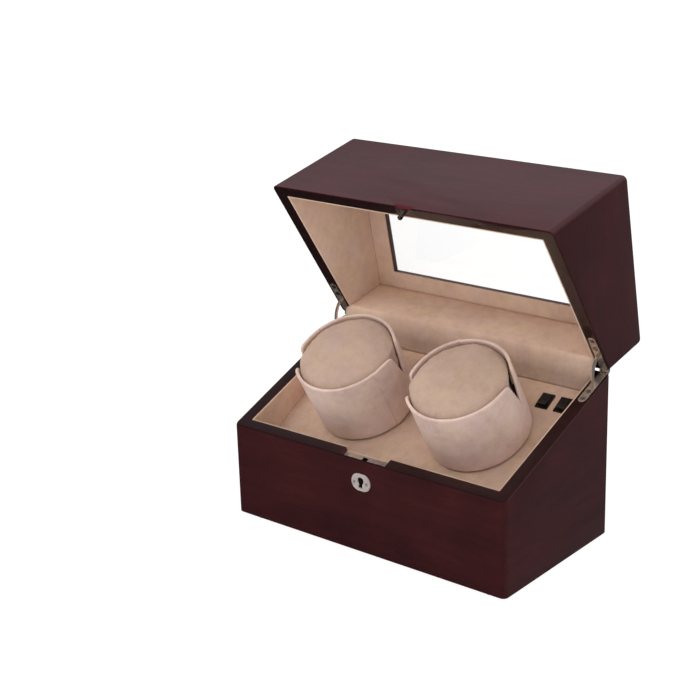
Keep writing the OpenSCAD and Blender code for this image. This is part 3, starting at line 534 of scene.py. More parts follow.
# ---------------------------------------------------------------- mesh helpers
def finish_mesh(mesh, sharp=32.0):
    """Welds, turns the normals outward and marks edges over `sharp` degrees as sharp."""
    bm = bmesh.new()
    bm.from_mesh(mesh)
    bmesh.ops.remove_doubles(bm, verts=bm.verts, dist=1e-7)
    bmesh.ops.recalc_face_normals(bm, faces=bm.faces)
    limit = rad(sharp)
    for face in bm.faces:
        face.smooth = True
    for edge in bm.edges:
        if len(edge.link_faces) == 2:
            edge.smooth = edge.calc_face_angle(0.0) < limit
    bm.to_mesh(mesh)
    bm.free()
    mesh.update()


def make_object(name, verts, faces, matrix, material, sharp=32.0):
    mesh = bpy.data.meshes.new(name)
    mesh.from_pydata([tuple(v) for v in verts], [], faces)
    mesh.transform(to_metres(matrix))
    finish_mesh(mesh, sharp)
    obj = bpy.data.objects.new(name, mesh)
    scene.collection.objects.link(obj)
    if material is not None:
        mesh.materials.append(material)
    return obj


def bake_modifiers(obj):
    graph = bpy.context.evaluated_depsgraph_get()
    graph.update()
    mesh = bpy.data.meshes.new_from_object(obj.evaluated_get(graph),
                                           preserve_all_data_layers=True, depsgraph=graph)
    obj.modifiers.clear()
    obj.data = mesh


def add_subdivision(obj):
    modifier = obj.modifiers.new("sub", "SUBSURF")
    modifier.levels = modifier.render_levels = 2


def shade_smooth(obj):
    for face in obj.data.polygons:
        face.use_smooth = True


def register(obj, body, node):
    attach(obj, body)
    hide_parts(node)


def round_rect(half_x, half_y, radius, segments=8, side_steps=1):
    """Outline of a rounded rectangle; side_steps divides each straight side."""
    radius = max(radius, 0.05)
    points = []
    for sign_x, sign_y, start in ((1, 1, 0), (-1, 1, 90), (-1, -1, 180), (1, -1, 270)):
        for i in range(segments + 1):
            a = rad(start + 90.0 * i / segments)
            points.append((sign_x * (half_x - radius) + radius * cos(a),
                           sign_y * (half_y - radius) + radius * sin(a)))
    outline = []
    for i, p in enumerate(points):
        outline.append(p)
        if (i + 1) % (segments + 1) == 0:
            q = points[(i + 1) % len(points)]
            for k in range(1, side_steps):
                outline.append((p[0] + (q[0] - p[0]) * k / side_steps,
                                p[1] + (q[1] - p[1]) * k / side_steps))
    return outline


def ring(size, grow, radius, z):
    """Loft ring (half x, half y, corner radius, z); z is a height or a function of y."""
    return (size[0] + grow, size[1] + grow, radius, z)


def outer_ring(inset, z):
    return ring(OUTER, -inset, max(0.12, CORNER_R - inset), z)


def fillet(radius, steps):
    """Quarter round as pairs (falling from radius to 0, rising from 0 to radius)."""
    angles = [rad(90.0 * i / steps) for i in range(steps + 1)]
    return [(radius * (1 - sin(a)), radius * (1 - cos(a))) for a in angles]


def loft(name, rings, matrix, material, side_steps=1):
    """Skin through the rings, the last joined back to the first."""
    verts, faces = [], []
    for half_x, half_y, radius, z in rings:
        outline = round_rect(half_x, half_y, radius, side_steps=side_steps)
        verts += [(x, y, z(y) if callable(z) else z) for x, y in outline]
    n = len(outline)
    for i in range(len(rings)):
        a, b = i * n, ((i + 1) % len(rings)) * n
        for j in range(n):
            k = (j + 1) % n
            faces.append((a + j, a + k, b + k, b + j))
    return make_object(name, verts, faces, matrix, material)


def grid_faces(columns, rows):
    """Faces of a grid with one vertex more than columns in each row."""
    starts = [j * (columns + 1) + i for j in range(rows) for i in range(columns)]
    return [(a, a + 1, a + columns + 2, a + columns + 1) for a in starts]


def prism(outline, z0, z1):
    n = len(outline)
    verts = [(x, y, z) for z in (z0, z1) for x, y in outline]
    faces = [tuple(range(n))[::-1], tuple(range(n, 2 * n))]
    faces += [(i, (i + 1) % n, n + (i + 1) % n, n + i) for i in range(n)]
    return verts, faces


def box(x0, x1, y0, y1, z0, z1):
    return prism([(x0, y0), (x1, y0), (x1, y1), (x0, y1)], z0, z1)


def circle(radius, x=0.0, y=0.0, n=40):
    angles = [2 * math.pi * i / n for i in range(n)]
    return [(x + radius * cos(a), y + radius * sin(a)) for a in angles]


def sector(inner, outer, start, end, n=40):
    """Arc-shaped band between two radii, angles in degrees."""
    forth = [rad(start + (end - start) * i / n) for i in range(n + 1)]
    back = [rad(end - (end - start) * i / n) for i in range(n + 1)]
    return [(r * cos(a), r * sin(a)) for r, angles in ((outer, forth), (inner, back))
            for a in angles]


def cut(obj, shapes):
    """Subtracts closed shapes, each ((verts, faces), matrix in mm)."""
    cutters = []
    for k, ((verts, faces), matrix) in enumerate(shapes):
        cutter = make_object("cutter_%s_%d" % (obj.name, k), verts, faces, matrix, None)
        cutters.append(cutter)
        modifier = obj.modifiers.new("cut%d" % k, "BOOLEAN")
        modifier.operation = "DIFFERENCE"
        modifier.solver = "EXACT"
        modifier.object = cutter
    bake_modifiers(obj)
    for cutter in cutters:
        mesh = cutter.data
        bpy.data.objects.remove(cutter)
        bpy.data.meshes.remove(mesh)
    finish_mesh(obj.data)


# ---------------------------------------------------------------- wooden shells
def hinge_cutters(body, leaf_n, band, band_half_x):
    """Recess for each hinge leaf, room for its knuckle and a curved slot for its arm.
    leaf_n is the recess's reach off the split; band is the slot's sector about the pin."""
    cutters = []
    for sign in (-1, 1):
        x = sign * HINGE_X
        split = body @ M_SPLIT
        # outlines drawn in (along, off the split) about the pin and extruded along x
        pin = body @ (M_SPLIT @ T((x, PIN_U, PIN_N)) @ R(rad(90), 4, "X") @ R(rad(90), 4, "Y"))
        cutters += [
            (box(x - LEAF_R, x + LEAF_R, *LEAF_U, *leaf_n), split),
            (prism(circle(LEAF_R, x, LEAF_U[0]), *leaf_n), split),
            (prism(circle(2.65), -3.4, 3.4), pin),
            (prism(sector(*band), -band_half_x, band_half_x), pin)]
    return cutters


def base_shell():
    rings = [outer_ring(fall, rise) for fall, rise in fillet(0.6, 3)]
    rings += [outer_ring(0.0, z) for z in (24.0, 48.0)]
    rings += [outer_ring(rise, on_split(-fall)) for fall, rise in fillet(1.4, 5)]
    rings += [ring(INNER, fall, INNER_R + fall, on_split(-rise))
              for fall, rise in fillet(INNER_EDGE_R, 3)]
    # down the inner wall, then out to the rebate for the bottom board
    rings.append(ring(INNER, 0.0, INNER_R, 5.0))
    rings += [(INNER[0] + 5.6, INNER[1] + 4.6, INNER_R, z) for z in (5.0, 0.0)]
    shell = loft("base_shell", rings, M_BOX, BASE_LACQUER)

    rim_notch = prism([(-19.8, 2.2), (19.8, 2.2), (20.8, 0), (21.5, -3), (-21.5, -3),
                       (-20.8, 0)], 0, 13)
    keyhole = [(4.3 * cos(rad(a)), 1.2 + 4.3 * sin(rad(a))) for a in range(-40, 221, 13)]
    keyhole += [(-3.3, -5.2), (3.3, -5.2)]
    cutters = [
        (rim_notch, M_SPLIT @ T((0, 1.5, 0)) @ R(rad(-90), 4, "X")),
        # seat of the lock plate, then the pocket for the lock
        (box(-19.5, 19.5, 1.55, 12.45, -4.2, -2.1), M_SPLIT),
        (box(-15.2, 15.2, 2.6, 12.0, -9.0, -3.5), M_SPLIT),
        (box(-15.2, 15.2, -HALF_D + 2.4, -HALF_D + 14, 40.5, 70.0), M_BOX),
        (prism(keyhole, -10, 10), T((0, -HALF_D + 5, KEYHOLE_Z)) @ R(rad(90), 4, "X"))]
    # pin holes beside the keyhole
    cutters += [(prism(circle(0.8, n=24), -10, 3),
                 T((x, -HALF_D, KEYHOLE_Z)) @ R(rad(90), 4, "X")) for x in (-5.6, 5.6)]
    # power jack hole in the back wall
    cutters.append((prism(circle(4.05), -20, 10), T((85, HALF_D, 20)) @ R(rad(-90), 4, "X")))
    cutters += hinge_cutters(M_BOX, leaf_n=(-1.55, 1.45), band=(15.75, 18.25, 179, 197),
                             band_half_x=1.0)
    cut(shell, cutters)
    register(shell, "base", "base_case")


def lid_shell():
    gap = LID_GAP / cos(SPLIT_ANGLE)
    rings = [outer_ring(rise, on_split(gap + fall)) for fall, rise in reversed(fillet(0.9, 4))]
    rings.append(outer_ring(0.0, 150.0))
    rings += [outer_ring(rise, TOP_Z - fall) for fall, rise in fillet(CORNER_R, 8)]
    rings += [ring(WINDOW, fall, 0.3 + fall, TOP_Z - rise) for fall, rise in fillet(0.8, 4)]
    # ledge under the window, then the inner wall
    rings += [ring(WINDOW, 0.0, 0.3, 167.5), ring(WINDOW, 4.0, 0.3, 167.5),
              ring(WINDOW, 4.0, 0.3, 164.3), ring(INNER, 0.0, INNER_R, 164.3)]
    rings += [ring(INNER, fall, INNER_R + fall, on_split(gap + rise))
              for fall, rise in reversed(fillet(INNER_EDGE_R, 3))]
    shell = loft("lid_shell", rings, M_LID, LID_LACQUER)

    # slanted cut in the middle of the front wall's lower edge
    front_cut = (M_LID @ T((0, -HALF_D, FRONT_H + 4.2)) @ R(rad(30), 4, "X") @ T((0, 0, -5))
                 @ R(rad(90), 4, "X"))
    cutters = [
        (prism([(-5.8, 0), (5.8, 0), (9.8, 5), (-9.8, 5)], 0, 8), front_cut),
        # seat of the striker plate
        (box(-8.05, 8.05, 2.15, 8.25, LID_GAP - 1, LID_GAP + 1.05), M_LID @ M_SPLIT)]
    cutters += hinge_cutters(M_LID, leaf_n=(LID_GAP - 1, LID_GAP + 1.55),
                             band=(15.1, 18.9, 180 - OPEN_DEG - 9, 190), band_half_x=1.4)
    cut(shell, cutters)
    register(shell, "lid", "lid_case")


base_shell()
lid_shell()


# ---------------------------------------------------------------- suede linings
def base_lining():
    foot = 0.05                          # height of the lining's foot over the panel
    rings = [ring(INNER, -GLUE, 0.5, lambda y: panel_z(y) + foot)]
    rings += [ring(INNER, -GLUE, 0.5,
                   lambda y, drop=drop: max(split_z(y) - drop, panel_z(y) + 0.06))
              for drop in (10.0, 1.0)]
    rings += [ring(INNER, -GLUE - rise, 0.5, on_split(-0.15 - fall))
              for fall, rise in fillet(0.5, 4)]
    rings += [ring(INNER, fall - LINING, 0.6, on_split(-0.15 - rise))
              for fall, rise in fillet(0.55, 4)]
    rings += [ring(INNER, -LINING, 0.6,
                   lambda y, share=share: panel_z(y) + foot
                   + (split_z(y) - 0.7 - panel_z(y) - foot) * share)
              for share in (0.75, 0.5, 0.25, 0.0)]
    lining = loft("base_suede_lining", rings, M_BOX, BASE_SUEDE, side_steps=24)
    # opening round the lock plate
    cut(lining, [(box(-20.2, 20.2, 2, 14, -3.1, 3), M_SPLIT)])
    register(lining, "base", "base_lining")


def toward_lid_top(offset, share):
    """Height function part of the way from an offset off the split to the lining's top."""
    def height(y):
        low = split_z(y) + offset
        return low + (LID_LINING_TOP - low) * share
    return height


def lid_lining():
    gap = (LID_GAP + 0.15) / cos(SPLIT_ANGLE)
    rings = [ring(INNER, -GLUE, 0.5, toward_lid_top(gap, share))
             for share in (1.0, 0.66, 0.33, 0.03)]
    rings += [ring(INNER, -GLUE - rise, 0.5, on_split(gap + fall))
              for fall, rise in fillet(0.5, 4)]
    rings += [ring(INNER, fall - LINING, 0.6, on_split(gap + rise))
              for fall, rise in fillet(0.55, 4)]
    rings += [ring(INNER, -LINING, 0.6, toward_lid_top(gap + 0.6, share))
              for share in (0.2, 0.4, 0.6, 0.8, 1.0)]
    lining = loft("lid_suede_lining", rings, M_LID, LID_SUEDE, side_steps=24)
    register(lining, "lid", "lid_lining")


def window_lining():
    """Suede-covered board round the window."""
    edge, back_z, face_z = -1.17, 164.25, 163.1
    rings = [ring(INNER, edge, 0.4, back_z), ring(BOARD_OPENING, 0.0, 0.6, back_z)]
    rings += [ring(BOARD_OPENING, rise, 0.6 + rise, face_z + fall)
              for fall, rise in fillet(0.6, 5)]
    start = [half + 0.6 for half in BOARD_OPENING]
    end = [half - 1.6 for half in INNER]
    for k in range(1, 6):
        share = k / 6.0
        half_x, half_y = [a + (b - a) * share for a, b in zip(start, end)]
        rings.append((half_x, half_y, 0.9 - 0.3 * share, face_z))
    rings += [ring(INNER, edge - fall, 0.4, face_z + rise) for fall, rise in fillet(0.22, 4)]
    board = loft("window_suede_lining", rings, M_LID, LID_SUEDE, side_steps=20)
    register(board, "lid", "window_lining")


def panel_cover():
    """Sheet on the sloping panel, rolled down at its edges."""
    half_x, half_y = [half - LINING - 0.05 for half in INNER]
    v0, v1 = [(y - PANEL_Y) / cos(PANEL_TILT) for y in (-half_y, half_y)]
    columns, rows = 76, 34
    flat = [(-half_x + 2 * half_x * i / columns, v0 + (v1 - v0) * j / rows)
            for j in range(rows + 1) for i in range(columns + 1)]
    verts = []
    for x, v in flat:
        inset = min(half_x - abs(x), v - v0, v1 - v)
        h = -0.08 * (1 - smooth(0.0, 1.2, inset)) - 0.02
        h += 0.05 * noise.noise(Vector((x * 0.05, v * 0.05, 3.1)))
        verts.append((x, v, min(h, 0.0)))
    under = len(verts)
    verts += [(x, v, -0.8) for x, v in flat]
    top = grid_faces(columns, rows)
    faces = top + [(under + a, under + d, under + c, under + b) for a, b, c, d in top]
    width = columns + 1
    rim = list(range(width))
    rim += [(j + 1) * width - 1 for j in range(1, rows + 1)]
    rim += [rows * width + i for i in range(columns - 1, -1, -1)]
    rim += [j * width for j in range(rows - 1, 0, -1)]
    faces += [(a, under + a, under + b, b) for a, b in zip(rim, rim[1:] + rim[:1])]
    cover = make_object("panel_suede_cover", verts, faces, M_PANEL, BASE_SUEDE)
    holes = [box(x - 4.6, x + 4.6, ROCKER_V - 6.4, ROCKER_V + 6.4, -5, 5) for x in ROCKER_X]
    holes += [prism(circle(6.1, sign * CUP_X, CUP_V), -5, 5) for sign in (-1, 1)]
    cut(cover, [(hole, M_PANEL) for hole in holes])
    register(cover, "base", "panel_cover")


base_lining()
lid_lining()
window_lining()
panel_cover()


def in_open_lid(y, z):
    point = M_LID @ Vector((0, y, z))
    return point.y, point.z


def hinge_strip():
    """Suede strip glued up the back lining, free across the joint, then glued up the lid's."""
    free_start, free_end = (57.26, 121.7), in_open_lid(57.27, 122.95)
    controls = (free_start, (57.25, 126.8), (free_end[0] - 1.3, free_end[1] - 2.6), free_end)
    path = [(57.36, 111.0)] + [(57.36, 113.0 + 1.6 * i) for i in range(5)] + [free_start]
    for i in range(1, 12):
        t = i / 12.0
        path.append(tuple((1 - t) ** 3 * a + 3 * (1 - t) ** 2 * t * b
                          + 3 * (1 - t) * t * t * c + t ** 3 * d for a, b, c, d in zip(*controls)))
    path += [free_end, in_open_lid(57.27, 124.6)]
    path += [in_open_lid(57.30, 124.6 + 38.2 * i / 12.0) for i in range(1, 13)]

    columns, half_x = 90, 112.9
    verts = []
    for j, (y, z) in enumerate(path):
        before, after = path[max(0, j - 1)], path[min(len(path) - 1, j + 1)]
        step_y, step_z = after[0] - before[0], after[1] - before[1]
        length = math.hypot(step_y, step_z)
        normal_y, normal_z = -step_z / length, step_y / length   # towards the inside of the box
        # the free part is wavy, and wider at its two ends
        free = smooth(5.0, 9.0, j) * (1 - smooth(15.0, 19.0, j))
        row_half = half_x + 3.2 * smooth(6.0, 8.0, j) * (1 - smooth(15.5, 17.5, j))
        for i in range(columns + 1):
            x = -half_x + 2 * half_x * i / columns
            if i in (0, columns):
                x *= row_half / half_x
            wave = 0.22 * noise.noise(Vector((x * 0.035, j * 0.25, 2.0)))
            wave += 0.10 * noise.noise(Vector((x * 0.11, j * 0.3, 7.0)))
            wave *= free
            verts.append((x, y + normal_y * wave, z + normal_z * wave))
    strip = make_object("suede_hinge_strip_cloth", verts, grid_faces(columns, len(path) - 1),
                        M_BOX, STRIP_SUEDE, 180.0)
    modifier = strip.modifiers.new("thick", "SOLIDIFY")
    modifier.thickness = 0.36 * MM
    modifier.offset = 0.0
    bake_modifiers(strip)
    shade_smooth(strip)
    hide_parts("suede_hinge_strip")
    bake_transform(strip)


hinge_strip()


# ---------------------------------------------------------------- cup collars
# Bearings are degrees about the cup's axis, from +X towards the upper end of the slope.
# A collar has a rear flap starting at bearing 0 and a front flap starting at 180; the
# flaps part in two V-shaped strap notches. Heights are above the panel.
REAR, FRONT = 0, 180


def notch_share(h):
    return clamp((h - NOTCH_H) / (CUP_H - NOTCH_H))


def flap_end(h):
    return NOTCH_DEG - 12.5 * notch_share(h) ** 1.05


def flap_start(h):
    return NOTCH_DEG + 18.5 * notch_share(h) ** 1.35


def flap_angle(flap, u, h):
    """Bearing at share u along a flap."""
    a, b = flap + flap_start(h), flap + 180 + flap_end(h)
    return a + (b - a) * u


def flap_columns(flap, count, seam):
    """Even column places from 0 to 1, with extra ones close to the seam."""
    a, b = flap_angle(flap, 0, 30.0), flap_angle(flap, 1, 30.0)
    extra = []
    for offset in (-2.4, -1.2, -0.5, 0.0, 0.35, 0.8, 1.8):
        for bearing in (seam % 360.0, seam % 360.0 + 360.0):
            u = (bearing + offset - a) / (b - a)
            if 0.03 < u < 0.97:
                extra.append(u)
    even = [i / count for i in range(count + 1)]
    kept = [u for u in even if all(abs(u - e) > 0.006 for e in extra)]
    return sorted(set(round(u, 5) for u in kept + extra))


def collar_radius(angle, h, seam, seed):
    place = Vector((cos(rad(angle)) * 1.7 + seed, sin(rad(angle)) * 1.7, h * 0.035))
    r = COLLAR_R + 0.42 * noise.noise(place) + 0.16 * noise.noise(place * 2.9)
    # pulled in at the foot, fuller halfway
    r += -0.35 * (1 - smooth(0, 7, h)) + 0.18 * sin(math.pi * clamp(h / CUP_H))
    # flaps lean out near their tips, most at the rear flap's end
    for tip in (flap_end(h), 180 + flap_start(h)):
        r += 0.75 * smooth(44, CUP_H, h) * bell(turn_between(angle, tip), 16.0)
    r += 1.1 * smooth(40, CUP_H, h) * bell(turn_between(angle, 180 + flap_end(h)), 10.0)
    # the overlapping end stands proud past the seam, with a groove at the seam itself
    past = turn_between(angle, seam)
    if abs(past) < 24:
        r += 0.85 * (math.exp(-past / 6.0) if past >= 0.0 else 0.0)
        r -= 0.30 * bell(past + 0.2, 0.7)
    return r


def flap_top(flap, u, seed):
    """Height of a flap's top edge, falling away at its two corners."""
    sweep = flap_angle(flap, 1, CUP_H) - flap_angle(flap, 0, CUP_H)
    from_corner = min(u, 1 - u) * sweep * math.pi / 180.0 * COLLAR_R
    drop = 0.42 if flap == REAR and u > 0.5 else 1.0
    h = CUP_H - 1.1 - 2.6 * drop * bell(from_corner, 2.0) - 1.0 * drop * bell(from_corner, 9.0)
    if flap == REAR:
        h += 0.6 * sin(math.pi * u)
    return h + 0.25 * noise.noise(Vector((u * 6.0 + seed, 2.0, 1.0)))


def collar_mesh(seam, seed):
    """Closed ring up to the notches' feet, then the two flaps."""
    foot_h, ring_rows, flap_rows = 1.4, 14, 16
    verts, faces = [], []

    def add(flap, u, h):
        angle = flap_angle(flap, u, h)
        r = collar_radius(angle, h, seam, seed)
        verts.append((r * cos(rad(angle)), r * sin(rad(angle)), h))
        return len(verts) - 1

    flaps = [(flap, flap_columns(flap, count, seam)) for flap, count in ((REAR, 52), (FRONT, 46))]
    around = [(flap, u) for flap, columns in flaps for u in columns[:-1]]
    n = len(around)
    rows = []
    for j in range(ring_rows + 1):
        h = foot_h + (NOTCH_H - foot_h) * j / ring_rows
        rows.append([add(flap, u, h) for flap, u in around])
    for low, high in zip(rows, rows[1:]):
        faces += [(low[i], low[(i + 1) % n], high[(i + 1) % n], high[i]) for i in range(n)]
    first = 0
    for flap, columns in flaps:
        low = [rows[-1][(first + i) % n] for i in range(len(columns))]
        for j in range(1, flap_rows + 1):
            high = []
            for u in columns:
                h = NOTCH_H + (flap_top(flap, u, seed) - NOTCH_H) * j / flap_rows
                high.append(add(flap, u, h))
            faces += [(low[i], low[i + 1], high[i + 1], high[i])
                      for i in range(len(columns) - 1)]
            low = high
        first += len(columns) - 1
    return verts, faces


def mark_collar_edges(obj, to_local, seam):
    """Stores the "edge" tone, a dark seam line and painted highlights along the rolled edges, and
    thickens the cloth where its edges are rolled.
    """
    group = obj.vertex_groups.new(name="thick")
    tones = []
    for i, vertex in enumerate(obj.data.vertices):
        point = to_local @ vertex.co
        z = point.z
        angle = math.degrees(math.atan2(point.y, point.x))
        # dark line down the seam
        tone = -0.34 * bell(turn_between(angle, seam) + 0.1, 0.8) * (1 - smooth(54.0, 57.0, z))
        roll = 0.0
        if z > 30:
            ends = (flap_end(z), 180 + flap_start(z), 180 + flap_end(z), flap_start(z))
            near = min(abs(turn_between(angle, end)) for end in ends)
            # painted highlight along the flaps' rolled ends and their top edge
            tone += 0.07 * bell(near, 2.2) + 0.07 * smooth(54.0, 56.8, z)
            # 0.672 mm per degree at the collar's radius
            roll = max(bell(near * 0.672, 2.0), smooth(53.0, 56.5, z))
        group.add([i], THIN + (1 - THIN) * roll, "REPLACE")
        tones.append(tone)
    attribute = obj.data.attributes.new("edge", "FLOAT", "POINT")
    attribute.data.foreach_set("value", tones)


def collar(side, sign, seam, seed):
    """Suede sleeve over the drum."""
    matrix = cup_matrix(sign)
    obj = make_object("cup_suede_" + side, *collar_mesh(seam, seed), matrix, CUP_SUEDE, 180.0)
    mark_collar_edges(obj, to_metres(matrix).inverted(), seam)
    modifier = obj.modifiers.new("thick", "SOLIDIFY")
    modifier.thickness = COLLAR_T / THIN * MM
    modifier.vertex_group = "thick"
    modifier.offset = 0.0
    modifier.use_even_offset = True
    add_subdivision(obj)
    bake_modifiers(obj)
    shade_smooth(obj)
    register(obj, "turntable_" + side, "cup_cover_" + side)


# ---------------------------------------------------------------- watch pillows
# (radius, height) from the middle of the underside, up the side, to the middle of the top
PILLOW_PROFILE = [
    (0.0, 6.6), (8, 6.6), (16, 6.6), (24, 6.6), (30, 6.7), (33.4, 7.6), (34.6, 10), (34.8, 14),
    (34.9, 20), (34.9, 26), (34.9, 31), (34.9, 36), (34.9, 40), (34.9, 43.5), (35.0, 46.2),
    (35.6, 48.6), (35.9, 50.8), (35.9, 53.2), (35.3, 55.4), (33.9, 57.3), (31.6, 58.8),
    (28.4, 59.9), (24.4, 60.7), (19.8, 61.2), (14.7, 61.5), (9.8, 61.7), (5.0, 61.8),
    (2.0, 61.8), (0.0, 61.8)]
PILLOW_COLUMNS = 120


def pillow_mesh(seed):
    verts, faces, rows = [], [], []
    for r, h in PILLOW_PROFILE:
        first = len(verts)
        if r == 0.0:
            verts.append((0, 0, h))
        else:
            for i in range(PILLOW_COLUMNS):
                a = 2 * math.pi * i / PILLOW_COLUMNS
                side = Vector((cos(a) * 3 + seed, sin(a) * 3, h * 0.1))
                swell = 1 + 0.004 * noise.noise(side)
                flat = Vector((cos(a) * r * 0.12 + seed, sin(a) * r * 0.12, 7.0))
                verts.append((r * swell * cos(a), r * swell * sin(a),
                              h + 0.15 * noise.noise(flat)))
        rows.append(list(range(first, len(verts))))
    for low, high in zip(rows, rows[1:]):
        for i in range(PILLOW_COLUMNS):
            k = (i + 1) % PILLOW_COLUMNS
            if len(low) == 1:
                faces.append((low[0], high[k], high[i]))
            elif len(high) == 1:
                faces.append((low[i], low[k], high[0]))
            else:
                faces.append((low[i], low[k], high[k], high[i]))
    return verts, faces


def inflate(obj, to_local):
    """Swells the pillow as cloth under pressure, pinned where the drum holds it."""
    group = obj.vertex_groups.new(name="pin")
    for vertex in obj.data.vertices:
        point = to_local @ vertex.co
        if point.z < 42:
            weight = 1.0
        elif math.hypot(point.x, point.y) > 30:
            weight = clamp((48.5 - point.z) / 8.0)
        else:
            weight = 0.0
        if weight > 0:
            group.add([vertex.index], weight, "REPLACE")
    modifier = obj.modifiers.new("cloth", "CLOTH")
    cloth = modifier.settings
    cloth.quality = 6
    cloth.mass = 0.15
    cloth.tension_stiffness = 20
    cloth.compression_stiffness = 20
    cloth.shear_stiffness = 8
    cloth.bending_stiffness = 0.6
    cloth.use_pressure = True
    cloth.uniform_pressure_force = 5.0
    cloth.vertex_group_mass = "pin"
    cloth.effector_weights.gravity = 0.0
    modifier.collision_settings.use_collision = False
    modifier.collision_settings.use_self_collision = False
    first, last = 1, 20
    modifier.point_cache.frame_start, modifier.point_cache.frame_end = first, last
    for number in range(first, last + 1):
        scene.frame_set(number)
    bake_modifiers(obj)
    scene.frame_set(first)


def shape_pillow(point, seed, slack):
    """Fits a point inside the collar and adds the sewn edge, gathers and folds.
    slack softens the side near the right-hand strap gap."""
    x, y, z = point
    r = math.hypot(x, y)
    if z <= 20:
        shrink = min(1.0, 35.3 / r) if r > 1e-6 else 1.0
        return Vector((x * shrink, y * shrink, max(z, 6.0)))

    angle = math.atan2(y, x)
    bearing = math.degrees(angle)
    past_strap = turn_between(bearing, STRAP_DEG)
    near_strap = min(abs(past_strap), abs(turn_between(bearing, STRAP_DEG + 180)))
    outside = smooth(28, 33, r)

    def around(frequency, offset, height):
        return noise.noise(Vector((cos(angle) * frequency + offset, sin(angle) * frequency,
                                   height)))

    # bulge over the drum's edge, then in where slack, then out through the strap notches
    new_r = r + (0.9 * smooth(46.5, 50.0, z) * (1 - smooth(53.5, 57.5, z)) * smooth(24, 34, r))
    fullness = 1.0 - slack * bell(past_strap - 4, 30.0)
    new_r -= (2.6 * slack * bell(past_strap - 12, 16.0) * smooth(26, 38, z)
              * (1 - smooth(50.0, 57.0, z)) * outside)
    new_r += (2.4 * fullness * bell(near_strap, 8.0) * smooth(29, 42, z)
              * (1 - smooth(52.0, 57.5, z)) * outside)

    # sewn line, gathers above it, and folds in the strap gaps
    sewn = bell(z - 47.6, 0.9) * smooth(30, 34, r) * (1 - 0.8 * bell(near_strap, 12.0))
    uneven = 0.5 + 0.5 * around(2.2, seed, 0.3)
    fine_gather = around(30, seed, z * 0.05)
    broad_gather = around(13, seed * 2, z * 0.08)
    gathered = ((0.4 * bell(max(0.0, z - 50.5), 3.4) + 0.8 * bell(z - 56.3, 2.4))
                * smooth(46.5, 48.5, z) * smooth(26, 33, r))
    low_side = smooth(46.5, 40, z) * smooth(30, 33, r)
    folded = bell(near_strap, 9.0) * smooth(30, 40, z) * (1 - smooth(50, 56, z)) * outside
    fold = noise.noise(Vector((near_strap * 0.35 + seed, z * 0.05, 1.0)))
    new_r += -0.45 * sewn + 0.60 * fine_gather * gathered * uneven
    new_r += 0.45 * broad_gather * gathered + 0.30 * broad_gather * low_side
    new_r += folded * (0.75 * fold + 0.5 * fine_gather)

    # room inside the collar; it widens within the notch, whose half angle grows with height
    half = math.degrees((0.4 + 12.2 * max(0.0, z - 25.5) / 38.0 - 0.7) / 36.0)
    in_notch = smooth(half, half - 3.5, near_strap) if half > 0.5 else 0.0
    low_limit = 35.45 + 2.2 * in_notch
    top_limit = 36.75 + 0.5 * bell(near_strap, 9.0)
    new_r = min(new_r, low_limit + (top_limit - low_limit) * smooth(46.9, 48.1, z))

    # gathers, the slack dip, then broad and small dents in the top
    new_z = z + 0.25 * broad_gather * gathered + 0.35 * fine_gather * gathered * uneven
    new_z -= 2.4 * slack * bell(past_strap - 22, 34.0) * smooth(16, 33, r) * smooth(48, 55, z)
    new_z += (1.1 * noise.noise(Vector((x * 0.045 + seed, y * 0.045, 4.0)))
              * smooth(50, 55, z))
    new_z += 0.14 * noise.noise(Vector((x * 0.17 + seed, y * 0.17, 9.0))) * smooth(52, 56, z)
    stretch = new_r / r if r > 1e-6 else 1.0
    return Vector((x * stretch, y * stretch, min(new_z, 64.2)))


def pillow(side, sign, seed, slack=0.0):
    matrix = cup_matrix(sign)
    to_world = to_metres(matrix)
    to_local = to_world.inverted()
    obj = make_object("pillow_suede_" + side, *pillow_mesh(seed), matrix, PILLOW_SUEDE, 180.0)
    inflate(obj, to_local)
    add_subdivision(obj)
    bake_modifiers(obj)
    for vertex in obj.data.vertices:
        vertex.co = to_world @ shape_pillow(to_local @ vertex.co, seed, slack)
    shade_smooth(obj)
    obj.data.update()
    register(obj, "pillow_" + side, "pillow_" + side)


collar("left", -1, seam=-20.0, seed=1.3)
collar("right", 1, seam=118.0, seed=5.7)
pillow("left", -1, seed=2.1)
pillow("right", 1, seed=8.4, slack=0.8)

# ---------------------------------------------------------------- pieces from the frame
for node_material, node_names in NODE_MATERIALS:
    for node_name in node_names:
        slots = frame["nodes"][node_name].data.materials
        slots.clear()
        slots.append(node_material)

# width of the rounding on hard edges, mm, and the nodes that get it
EDGE_ROUNDING = {
    0.22: ["escutcheon"],
    0.12: ["lock_face_plate", "striker_plate"],
    0.16: ["hinge_base_leaf_left", "hinge_base_leaf_right", "hinge_lid_leaf_left",
           "hinge_lid_leaf_right", "hinge_arm_left", "hinge_arm_right"],
    0.25: ["rocker_left", "rocker_right", "motor_bracket_left", "motor_bracket_right"],
    0.2: ["switch_housings"],
}


def round_edges(obj, width):
    """Rounds with modifiers only; the mesh itself stays as it is."""
    weld = obj.modifiers.new("weld", "WELD")
    weld.merge_threshold = 2e-6
    bevel = obj.modifiers.new("bevel", "BEVEL")
    bevel.width = width * MM
    bevel.segments = 2
    bevel.limit_method = "ANGLE"
    bevel.angle_limit = rad(35.0)
    bevel.use_clamp_overlap = True
    bevel.harden_normals = False


for rounding, node_names in EDGE_ROUNDING.items():
    for node_name in node_names:
        round_edges(frame["nodes"][node_name], rounding)


